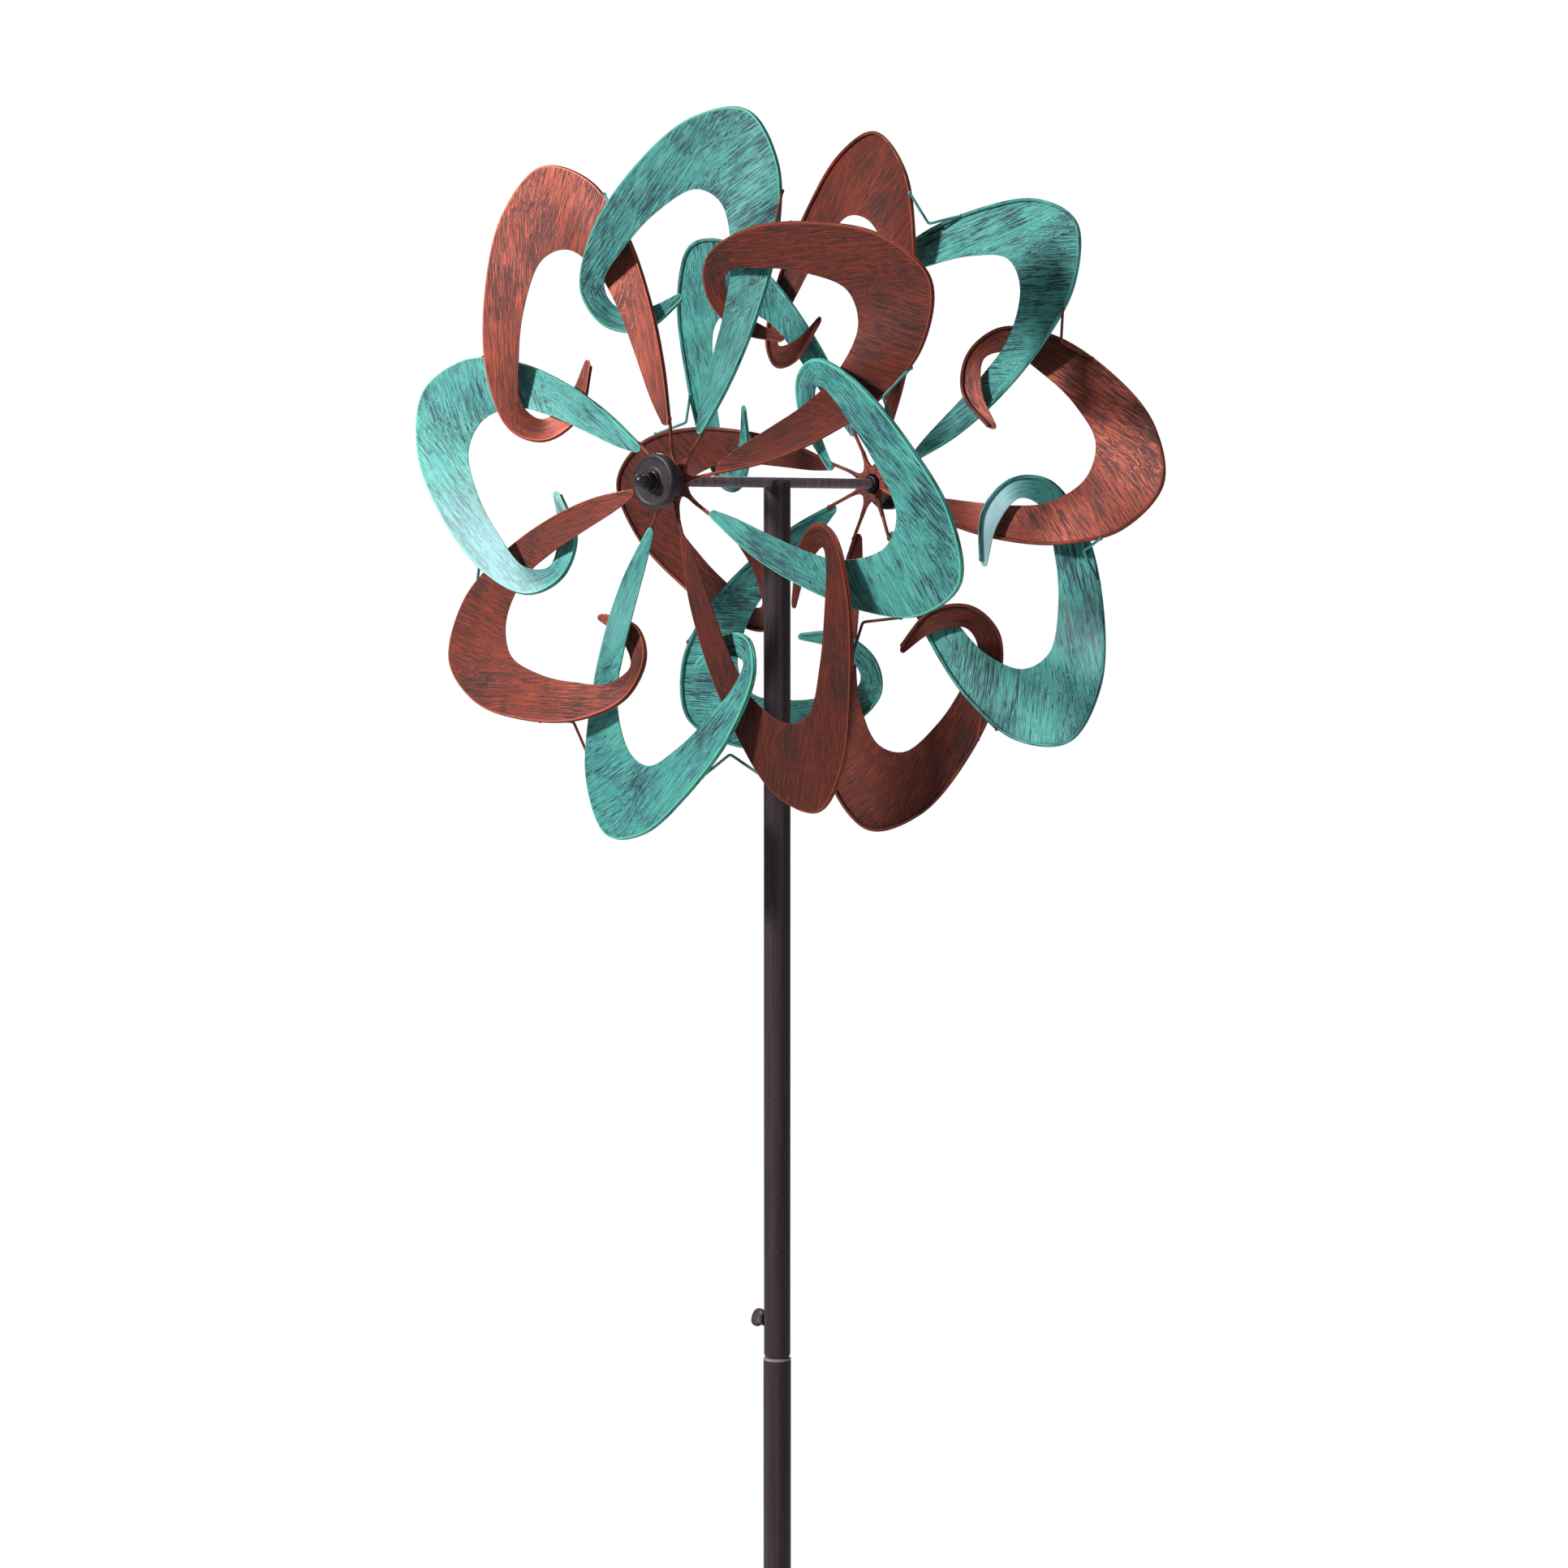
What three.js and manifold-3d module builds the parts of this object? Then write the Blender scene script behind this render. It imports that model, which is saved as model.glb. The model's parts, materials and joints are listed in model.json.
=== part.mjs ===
// Kinetic wind spinner for a garden: two rotors of curled metal blades on the ends of one horizontal axle,
// carried by a two-piece pole that stands in the ground on a pronged foot.
// Millimetres, +Z up. The origin is the middle of the foot plate's underside, level with the soil.
// The axle lies along Y. The front rotor is at -Y and the back rotor, its mirror image, is at +Y.
import * as THREE from "three";
import { mergeVertices } from "three/addons/utils/BufferGeometryUtils.js";
import Module from "manifold-3d";

// ---- Driving dimensions ----
const GAP = 0.3; // between pieces that touch
const AXLE_HEIGHT = 1600; // axle's centre line above the soil
const HUB_OFFSET = 131; // plane of each rotor's arms from the middle of the axle
const BLADE_COUNT = 8;
const FRONT_TURN = 1; // degrees, where the front rotor rests
const BACK_TURN = 15.5; // degrees, where the back rotor rests

const SHEET = 1.2; // blade metal
const ROD_RADIUS = 1.5; // rim rods and link wires
const ROD_SIDES = 5;
const BLADE_STEPS = 28; // straight steps along a blade

const AXLE_RADIUS = 4.5;
const AXLE_END_RADIUS = 4; // turned down and threaded for the bearing and the nut
const POLE_RADIUS = 11.5;
const LOWER_POLE_RADIUS = 12;
const POLE_WALL = 1.6;
const POLE_JOINT_HEIGHT = 842; // where the upper pole stands on the lower pole
const SPIGOT_LENGTH = 60; // in each pole
const SCREW_HEIGHT = POLE_JOINT_HEIGHT + 31.5;

const FOOT_PLATE_LENGTH = 160;
const FOOT_PLATE_WIDTH = 30;
const FOOT_PLATE_THICKNESS = 5;
const PRONG_LENGTH = 200;
const PRONG_RADIUS = 4;
const PRONG_CIRCLE = 62; // prongs' distance from the pole's axis

// A blade in its rotor's own frame: x and y lie in the plane of the hub's arms, z is depth, outwards along
// the axle. Each station is one straight line across the strip, from its outer edge to its inner edge.
// The strip leaves the hub, widens to its far corner, curls back over the next blade and dives under it.
const BLADE_STATIONS = [
  { outer: [36, -29, 0], inner: [41, -24, 0] },
  { outer: [80, -61, -1], inner: [65, -31, 1] },
  { outer: [130, -87, -4], inner: [104, -46, 1] },
  { outer: [190, -107, -7], inner: [140, -59, 1] },
  { outer: [250, -111, -5], inner: [180, -67, 2] },
  { outer: [295, -85, 1], inner: [222, -57, 1] },
  { outer: [293, -34, 11], inner: [236, -32, 4] },
  { outer: [261, 19, 18], inner: [220, 7, 9] },
  { outer: [209, 71, 19], inner: [195, 41, 10] },
  { outer: [160, 92, 12], inner: [167, 69, 7] },
  { outer: [132, 78, 0], inner: [149, 69, -4] },
  { outer: [126, 45, -13], inner: [145, 40, -12] },
  { outer: [150, 4, -18], inner: [156, 5, -17] },
];
const ARM_ANGLE = -39; // degrees, each arm of the hub from its own blade's tip
const ARM_REACH = 30;
const ARM_HALF_WIDTH = 1.4;
const STAR_THICKNESS = 4;
const STAR_VALLEY_RADIUS = 15;
const STAR_BORE_RADIUS = 8.5;

// Depths along the axle, outwards from the plane of the arms.
const BARREL_START = STAR_THICKNESS / 2 + GAP;
const BARREL_END = 25.2;
const CAP_START = 18.5;
const CAP_END = 28;
const CAP_RADIUS = 22.5;
const FLANGE_START = CAP_END + 2 * GAP;
const NUT_START = FLANGE_START + 1.8;
const NUT_END = 46;

// ---- Finishes ----
const finish = (color, roughness, metalness) =>
  new THREE.MeshStandardMaterial({ color, roughness, metalness });
const COPPER = finish(0x9c4a38, 0.5, 0.6);
const VERDIGRIS = finish(0x4eb29e, 0.6, 0.3);
const POLE_PAINT = finish(0x382e32, 0.45, 0.3);
const CAP_PAINT = finish(0x3c3944, 0.4, 0.3);
const STEEL = finish(0x8f8f92, 0.3, 1);

// ---- Joining and cutting ----
const wasm = await Module();
wasm.setup();

function toSolid(geometry) {
  const loose = geometry.index ? geometry.toNonIndexed() : geometry;
  const bare = new THREE.BufferGeometry().setAttribute("position", loose.getAttribute("position"));
  const merged = mergeVertices(bare, 1e-3);
  return new wasm.Manifold(
    new wasm.Mesh({
      numProp: 3,
      vertProperties: merged.getAttribute("position").array,
      triVerts: new Uint32Array(merged.index.array),
    }),
  );
}

function toGeometry(solid) {
  const mesh = solid.getMesh();
  return new THREE.BufferGeometry()
    .setAttribute("position", new THREE.BufferAttribute(mesh.vertProperties, 3))
    .setIndex(new THREE.BufferAttribute(mesh.triVerts, 1));
}

const join = (first, ...others) =>
  toGeometry(others.reduce((solid, next) => solid.add(toSolid(next)), toSolid(first)));
const cut = (first, ...others) =>
  toGeometry(others.reduce((solid, next) => solid.subtract(toSolid(next)), toSolid(first)));

// ---- Shapes used more than once ----
const piece = (name, geometry, material) => Object.assign(new THREE.Mesh(geometry, material), { name });

// A turned solid about Z. The profile is a list of [radius, height], going up the outside.
function turned(profile, segments = 24) {
  const points = profile.map(([radius, height]) => new THREE.Vector2(radius, height));
  return new THREE.LatheGeometry(points, segments).rotateX(Math.PI / 2);
}

// A plain ring about Z, between two radii and two heights.
function ring(inner, outer, bottom, top, segments = 24) {
  const profile = [
    [inner, bottom],
    [outer, bottom],
    [outer, top],
    [inner, top],
    [inner, bottom],
  ];
  return turned(profile, segments);
}

// A plain bar about Z.
const bar = (radius, bottom, top, segments = 24) =>
  new THREE.CylinderGeometry(radius, radius, top - bottom, segments)
    .rotateX(Math.PI / 2)
    .translate(0, 0, (bottom + top) / 2);

// A closed skin over a row of rings that all have the same number of corners.
function loft(rings) {
  const sides = rings[0].length;
  const positions = rings.flat().flatMap((corner) => corner.toArray());
  const index = [];
  for (let row = 0; row + 1 < rings.length; row++) {
    for (let side = 0; side < sides; side++) {
      const here = row * sides + side;
      const beside = row * sides + ((side + 1) % sides);
      index.push(here, beside, beside + sides, here, beside + sides, here + sides);
    }
  }
  const last = (rings.length - 1) * sides;
  for (let side = 1; side + 1 < sides; side++) {
    index.push(0, side + 1, side);
    index.push(last, last + side, last + side + 1);
  }
  return new THREE.BufferGeometry()
    .setAttribute("position", new THREE.Float32BufferAttribute(positions, 3))
    .setIndex(index);
}

// A round rod through a list of points, with the same number of sides all along.
function rod(points, radius) {
  let normal = new THREE.Vector3(0, 0, 1);
  const rings = points.map((point, row) => {
    const before = points[Math.max(row - 1, 0)];
    const after = points[Math.min(row + 1, points.length - 1)];
    const along = after.clone().sub(before).normalize();
    normal = normal.clone().addScaledVector(along, -normal.dot(along)).normalize();
    const across = along.clone().cross(normal);
    return Array.from({ length: ROD_SIDES }, (_, side) => {
      const turn = (2 * Math.PI * side) / ROD_SIDES;
      return point
        .clone()
        .addScaledVector(normal, radius * Math.cos(turn))
        .addScaledVector(across, radius * Math.sin(turn));
    });
  });
  return loft(rings);
}

// ---- Blades ----
const edgeCurve = (edge) =>
  new THREE.CatmullRomCurve3(BLADE_STATIONS.map((station) => new THREE.Vector3(...station[edge])));
const outerEdge = edgeCurve("outer");
const innerEdge = edgeCurve("inner");

// The line across the blade at a fraction of its length, with its direction across and its outward normal.
function bladeLine(fraction) {
  const outer = outerEdge.getPoint(fraction);
  const inner = innerEdge.getPoint(fraction);
  const across = inner.clone().sub(outer).normalize();
  const along = outerEdge.getTangent(fraction).add(innerEdge.getTangent(fraction));
  const normal = along.cross(across).normalize();
  return { outer, inner, across, normal };
}
const bladeLines = Array.from({ length: BLADE_STEPS + 1 }, (_, step) => bladeLine(step / BLADE_STEPS));

function bladeGeometry() {
  const rings = bladeLines.map(({ outer, inner, normal }) => [
    outer.clone().addScaledVector(normal, -SHEET / 2),
    inner.clone().addScaledVector(normal, -SHEET / 2),
    inner.clone().addScaledVector(normal, SHEET / 2),
    outer.clone().addScaledVector(normal, SHEET / 2),
  ]);
  return loft(rings);
}

// The rim rod runs from the hub's arm along the blade's outer edge, on the side that faces the pole.
const ROD_INSET = 1;
const ROD_DROP = SHEET / 2 + GAP + 0.1 + ROD_RADIUS;
const rimPoint = ({ outer, across, normal }) =>
  outer.clone().addScaledVector(across, ROD_INSET).addScaledVector(normal, -ROD_DROP);

// The link wire leaves one blade's rim rod, bends in the notch between the blades, and ends beside the next
// blade's rim rod.
const LINK_START = 0.615;
const LINK_END = 0.3;
const LINK_BEND = [224, 60, 4];
const LINK_RADIUS = 1.2;

function rimRodGeometry() {
  const armTurn = THREE.MathUtils.degToRad(ARM_ANGLE);
  const start = ARM_REACH + 2 * GAP;
  const armEnd = new THREE.Vector3(start * Math.cos(armTurn), start * Math.sin(armTurn), 0);
  const rim = rod([armEnd, ...bladeLines.map(rimPoint)], ROD_RADIUS);
  const nextBlade = new THREE.Matrix4().makeRotationZ((2 * Math.PI) / BLADE_COUNT);
  const from = rimPoint(bladeLine(LINK_START));
  const bend = new THREE.Vector3(...LINK_BEND);
  const endLine = bladeLine(LINK_END);
  const clear = ROD_RADIUS + LINK_RADIUS + 4 * GAP;
  const to = rimPoint(endLine).addScaledVector(endLine.across, -clear).applyMatrix4(nextBlade);
  return join(rim, rod([from, bend, to], LINK_RADIUS));
}

// ---- Hub ----
// The star: a plate whose eight arms flare out of a disc in hollow curves.
function starGeometry() {
  const shape = new THREE.Shape();
  const polar = (radius, turn, sideways) =>
    new THREE.Vector2(radius, sideways).rotateAround(new THREE.Vector2(), turn);
  for (let arm = 0; arm < BLADE_COUNT; arm++) {
    const turn = THREE.MathUtils.degToRad(ARM_ANGLE + (arm * 360) / BLADE_COUNT);
    const valleyTurn = turn + Math.PI / BLADE_COUNT;
    const right = polar(ARM_REACH, turn, -ARM_HALF_WIDTH);
    const left = polar(ARM_REACH, turn, ARM_HALF_WIDTH);
    const rightRoot = polar(STAR_VALLEY_RADIUS + 1, turn, -ARM_HALF_WIDTH);
    const leftRoot = polar(STAR_VALLEY_RADIUS + 1, turn, ARM_HALF_WIDTH);
    const valley = polar(STAR_VALLEY_RADIUS, valleyTurn, 0);
    if (arm === 0) {
      const start = polar(STAR_VALLEY_RADIUS, valleyTurn - (2 * Math.PI) / BLADE_COUNT, 0);
      shape.moveTo(start.x, start.y);
    }
    shape.quadraticCurveTo(rightRoot.x, rightRoot.y, right.x, right.y);
    shape.lineTo(left.x, left.y);
    shape.quadraticCurveTo(leftRoot.x, leftRoot.y, valley.x, valley.y);
  }
  shape.holes.push(new THREE.Path().absarc(0, 0, STAR_BORE_RADIUS, 0, 2 * Math.PI, true));
  const plate = { depth: STAR_THICKNESS, bevelEnabled: false, curveSegments: 4 };
  return new THREE.ExtrudeGeometry(shape, plate).translate(0, 0, -STAR_THICKNESS / 2);
}

// The cap: a shallow cup with a rounded rim over the end of the barrel, open towards the star.
function capGeometry() {
  const wall = 1.6;
  const rim = 2;
  const profile = [
    [CAP_RADIUS - wall, CAP_START],
    [CAP_RADIUS, CAP_START],
    [CAP_RADIUS, CAP_END - rim],
    [CAP_RADIUS - rim * 0.3, CAP_END - rim * 0.3],
    [CAP_RADIUS - rim, CAP_END],
    [7, CAP_END],
    [7, BARREL_END + GAP],
    [CAP_RADIUS - wall, BARREL_END + GAP],
    [CAP_RADIUS - wall, CAP_START],
  ];
  return turned(profile, 28);
}

// The balls of the bearing in their cage.
function ballCageGeometry() {
  const ballCount = 6;
  const circle = 7.7;
  const middle = BARREL_END - 7;
  const cage = ring(circle - 0.4, circle + 0.4, middle - 0.9, middle + 0.9, 18);
  const balls = Array.from({ length: ballCount }, (_, ball) => {
    const turn = (2 * Math.PI * ball) / ballCount;
    return new THREE.IcosahedronGeometry(1.2, 1).translate(
      circle * Math.cos(turn),
      circle * Math.sin(turn),
      middle,
    );
  });
  return join(cage, ...balls);
}

// The dome nut: a flange, a hexagon and a rounded end, bored for the axle's threaded end.
function domeNutGeometry() {
  const hexagonTop = NUT_START + 7;
  const domeRadius = 6.4;
  const flange = bar(9, FLANGE_START, NUT_START + 0.5);
  const hexagon = bar(8, NUT_START, hexagonTop, 6);
  const dome = new THREE.SphereGeometry(domeRadius, 16, 10)
    .rotateX(Math.PI / 2)
    .translate(0, 0, NUT_END - domeRadius);
  const neck = bar(domeRadius, hexagonTop - 1, NUT_END - domeRadius, 16);
  const bore = bar(AXLE_END_RADIUS + GAP, FLANGE_START - 1, NUT_END - 3, 16);
  return cut(join(flange, hexagon, neck, dome), bore);
}

// ---- Rotors ----
// A rotor and the fixed pieces on its end of the axle, in the rotor's own frame.
function rotorGroup(side, turn, firstFinish, secondFinish) {
  const rotor = new THREE.Group();
  const wheel = new THREE.Group();
  wheel.rotation.z = THREE.MathUtils.degToRad(turn);
  const blade = bladeGeometry();
  const rimRod = rimRodGeometry();
  for (let number = 1; number <= BLADE_COUNT; number++) {
    const material = number % 2 ? firstFinish : secondFinish;
    const bladeMesh = piece(`${side}_blade_${number}`, blade, material);
    const rodMesh = piece(`${side}_rim_rod_${number}`, rimRod, material);
    for (const mesh of [bladeMesh, rodMesh]) {
      mesh.rotation.z = (2 * Math.PI * (number - 1)) / BLADE_COUNT;
      wheel.add(mesh);
    }
  }
  wheel.add(
    piece(`${side}_hub_star`, starGeometry(), COPPER),
    piece(`${side}_hub_barrel`, ring(11 + GAP, 14, BARREL_START, BARREL_END), POLE_PAINT),
    piece(`${side}_hub_cap`, capGeometry(), CAP_PAINT),
    piece(`${side}_bearing_outer_ring`, ring(9.2, 11, BARREL_START + GAP, BARREL_END - GAP, 18), STEEL),
    piece(`${side}_bearing_balls`, ballCageGeometry(), STEEL),
  );
  const boreRadius = AXLE_END_RADIUS + GAP;
  const collarRadius = AXLE_RADIUS + GAP;
  rotor.add(
    wheel,
    piece(`${side}_bearing_inner_ring`, ring(boreRadius, 6.2, BARREL_START + GAP, CAP_END + GAP, 18), STEEL),
    piece(`${side}_shaft_collar`, ring(collarRadius, 7.4, -6, BARREL_START - GAP, 18), POLE_PAINT),
    piece(`${side}_dome_nut`, domeNutGeometry(), STEEL),
  );
  rotor.rotation.x = Math.PI / 2;
  return rotor;
}

const frontRotor = rotorGroup("front", FRONT_TURN, VERDIGRIS, COPPER);
frontRotor.position.set(0, -HUB_OFFSET, AXLE_HEIGHT);
const backRotor = rotorGroup("back", BACK_TURN, COPPER, VERDIGRIS);
backRotor.position.set(0, HUB_OFFSET, AXLE_HEIGHT);
backRotor.scale.z = -1;

// ---- Axle and poles ----
function axleGeometry() {
  const shoulder = HUB_OFFSET + BARREL_START - GAP;
  const end = HUB_OFFSET + NUT_END - 4;
  const profile = [
    [0, -end],
    [AXLE_END_RADIUS, -end],
    [AXLE_END_RADIUS, -shoulder],
    [AXLE_RADIUS, -shoulder],
    [AXLE_RADIUS, shoulder],
    [AXLE_END_RADIUS, shoulder],
    [AXLE_END_RADIUS, end],
    [0, end],
  ];
  return turned(profile, 20).rotateX(Math.PI / 2);
}

// The upper pole: a tube with a closed top that cradles the axle, and a hole for the clamp screw.
function upperPoleGeometry() {
  const bore = POLE_RADIUS - POLE_WALL;
  const bottom = POLE_JOINT_HEIGHT + GAP;
  const top = AXLE_HEIGHT + 1;
  const chamfer = 1.5;
  const profile = [
    [bore, bottom],
    [POLE_RADIUS - chamfer * 0.7, bottom],
    [POLE_RADIUS, bottom + chamfer],
    [POLE_RADIUS, top],
    [0, top],
    [0, top - 16],
    [bore, top - 16],
    [bore, bottom],
  ];
  const cradle = bar(AXLE_RADIUS + GAP, -20, 20).rotateX(Math.PI / 2).translate(0, 0, AXLE_HEIGHT);
  const screwHole = bar(3 + GAP, 0, 20, 12).rotateY(-Math.PI / 2).translate(0, 0, SCREW_HEIGHT);
  return cut(turned(profile), cradle, screwHole);
}

// The lower pole: a tube a little wider than the upper pole, with the same bore.
function lowerPoleGeometry() {
  const bore = POLE_RADIUS - POLE_WALL;
  const bottom = FOOT_PLATE_THICKNESS + GAP;
  const chamfer = 1.2;
  const profile = [
    [bore, bottom],
    [LOWER_POLE_RADIUS, bottom],
    [LOWER_POLE_RADIUS, POLE_JOINT_HEIGHT - chamfer],
    [LOWER_POLE_RADIUS - chamfer, POLE_JOINT_HEIGHT],
    [bore, POLE_JOINT_HEIGHT],
    [bore, bottom],
  ];
  return turned(profile);
}

// The spigot: a short tube fixed in the top of the lower pole, for the upper pole to turn on.
function spigotGeometry() {
  const outside = POLE_RADIUS - POLE_WALL - GAP;
  const wall = 2;
  const bottom = POLE_JOINT_HEIGHT - SPIGOT_LENGTH;
  const top = POLE_JOINT_HEIGHT + SPIGOT_LENGTH;
  const profile = [
    [outside - wall, bottom],
    [outside, bottom],
    [outside, top - 2],
    [outside - 1, top],
    [outside - wall, top],
    [outside - wall, bottom],
  ];
  return turned(profile);
}

// ---- Clamp screw ----
// It points to -X. Its parts are built upright and then laid over.
const layOver = (geometry) => geometry.rotateY(-Math.PI / 2).translate(0, 0, SCREW_HEIGHT);
const BOSS_END = POLE_RADIUS + 2.5;

const bossGeometry = () =>
  layOver(cut(bar(7.5, POLE_RADIUS + GAP, BOSS_END, 6), bar(3 + GAP, 0, 30, 12)));

function clampScrewGeometry() {
  const thumbWidth = 16;
  const thumbHeight = 14;
  const thumbThickness = 5;
  const shank = bar(3, POLE_RADIUS - POLE_WALL, BOSS_END + 4, 12);
  const neck = bar(4.5, BOSS_END + GAP, BOSS_END + 3, 12);
  const outline = new THREE.Shape().absellipse(0, 0, thumbWidth / 2, thumbHeight / 2, 0, 2 * Math.PI);
  const thumb = new THREE.ExtrudeGeometry(outline, {
    depth: thumbThickness,
    bevelEnabled: false,
    curveSegments: 10,
  })
    .translate(0, 0, -thumbThickness / 2)
    .rotateX(Math.PI / 2)
    .translate(0, 0, BOSS_END + 2 * GAP + thumbHeight / 2);
  return layOver(join(shank, neck, thumb).rotateZ(THREE.MathUtils.degToRad(25)));
}

// ---- Foot ----
function footPlateGeometry() {
  const half = FOOT_PLATE_THICKNESS / 2;
  const along = new THREE.BoxGeometry(FOOT_PLATE_LENGTH, FOOT_PLATE_WIDTH, FOOT_PLATE_THICKNESS);
  const across = new THREE.BoxGeometry(FOOT_PLATE_WIDTH, FOOT_PLATE_LENGTH, FOOT_PLATE_THICKNESS);
  return join(along.translate(0, 0, half), across.translate(0, 0, half));
}

function prongGeometry() {
  const profile = [
    [0, -PRONG_LENGTH],
    [PRONG_RADIUS, -PRONG_LENGTH + 4 * PRONG_RADIUS],
    [PRONG_RADIUS, -GAP],
    [0, -GAP],
  ];
  return turned(profile, 12).translate(PRONG_CIRCLE, 0, 0);
}

// ---- The whole spinner ----
const spinner = new THREE.Group();
spinner.add(
  frontRotor,
  backRotor,
  piece("axle", axleGeometry().translate(0, 0, AXLE_HEIGHT), POLE_PAINT),
  piece("upper_pole", upperPoleGeometry(), POLE_PAINT),
  piece("lower_pole", lowerPoleGeometry(), POLE_PAINT),
  piece("pole_spigot", spigotGeometry(), STEEL),
  piece("clamp_boss", bossGeometry(), POLE_PAINT),
  piece("clamp_screw", clampScrewGeometry(), POLE_PAINT),
  piece("foot_plate", footPlateGeometry(), POLE_PAINT),
);
for (let number = 1; number <= 4; number++) {
  const prong = piece(`foot_prong_${number}`, prongGeometry(), POLE_PAINT);
  prong.rotation.z = (Math.PI / 2) * (number - 1);
  spinner.add(prong);
}

export default spinner;
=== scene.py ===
"""Looks of the kinetic wind spinner: brushed copper and verdigris rotors on a dark painted pole.

Everything is in metres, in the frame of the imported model. A rotor's own frame has x and y in the plane of the
hub's arms and z as depth outwards along the axle.
"""
import json
import math

import bmesh
import bpy
from mathutils import Matrix, Vector, noise


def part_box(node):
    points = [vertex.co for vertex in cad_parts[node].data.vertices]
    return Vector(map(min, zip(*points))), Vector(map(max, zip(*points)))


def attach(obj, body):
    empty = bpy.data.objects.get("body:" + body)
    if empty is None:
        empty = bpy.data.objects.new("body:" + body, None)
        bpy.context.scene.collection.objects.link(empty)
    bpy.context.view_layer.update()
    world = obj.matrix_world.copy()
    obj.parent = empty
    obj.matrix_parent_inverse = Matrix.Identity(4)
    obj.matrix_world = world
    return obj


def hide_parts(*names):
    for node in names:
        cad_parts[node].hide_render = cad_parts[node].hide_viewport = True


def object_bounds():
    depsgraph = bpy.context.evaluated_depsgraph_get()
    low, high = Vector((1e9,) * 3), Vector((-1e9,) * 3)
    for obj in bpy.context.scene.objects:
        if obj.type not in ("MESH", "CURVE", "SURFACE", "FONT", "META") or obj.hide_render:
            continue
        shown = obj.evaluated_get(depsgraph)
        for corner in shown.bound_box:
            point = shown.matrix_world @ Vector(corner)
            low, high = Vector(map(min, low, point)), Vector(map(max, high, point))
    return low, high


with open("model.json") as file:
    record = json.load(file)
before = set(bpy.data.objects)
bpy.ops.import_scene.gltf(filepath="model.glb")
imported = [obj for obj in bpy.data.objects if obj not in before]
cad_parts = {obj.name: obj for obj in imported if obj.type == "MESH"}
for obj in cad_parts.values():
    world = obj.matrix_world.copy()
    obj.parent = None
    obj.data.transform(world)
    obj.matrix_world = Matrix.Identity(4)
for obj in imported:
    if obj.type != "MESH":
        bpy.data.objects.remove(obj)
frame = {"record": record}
cad_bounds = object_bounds()

MM = 0.001
SIDES = {"front": -1, "back": 1}
REST_TURN = {"front": 1, "back": 15.5}  # degrees, where each rotor rests
BLADE_COUNT = 8
JOINTS = {joint["name"]: joint for joint in frame["record"]["behaviour"]["joints"]}
HUB_OFFSET = JOINTS["back_rotor_spin"]["pos_m"][1]
AXLE_HEIGHT = JOINTS["back_rotor_spin"]["pos_m"][2]
SCREW_HEIGHT = JOINTS["clamp_screw_turn"]["pos_m"][2]
POLE_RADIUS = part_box("upper_pole")[1].x
POLE_BORE = POLE_RADIUS - 1.6 * MM


# ---------------------------------------------------------------- camera
def make_camera():
    """The camera stands a little below the axle and looks down by the pitch, so that it needs no shift."""
    azimuth = math.radians(40.25)
    pitch = math.radians(4.32)
    aim_off_the_pole = math.radians(0.114)
    distance = 2.968
    height = 1.566
    camera = bpy.data.objects.new("camera", bpy.data.cameras.new("camera"))
    bpy.context.scene.collection.objects.link(camera)
    camera.location = (distance * math.sin(azimuth), -distance * math.cos(azimuth), height)
    camera.rotation_euler = (math.pi / 2 - pitch, 0, azimuth - aim_off_the_pole)
    camera.data.sensor_width = 36
    camera.data.lens = 79.49
    bpy.context.scene.camera = camera


make_camera()


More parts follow.
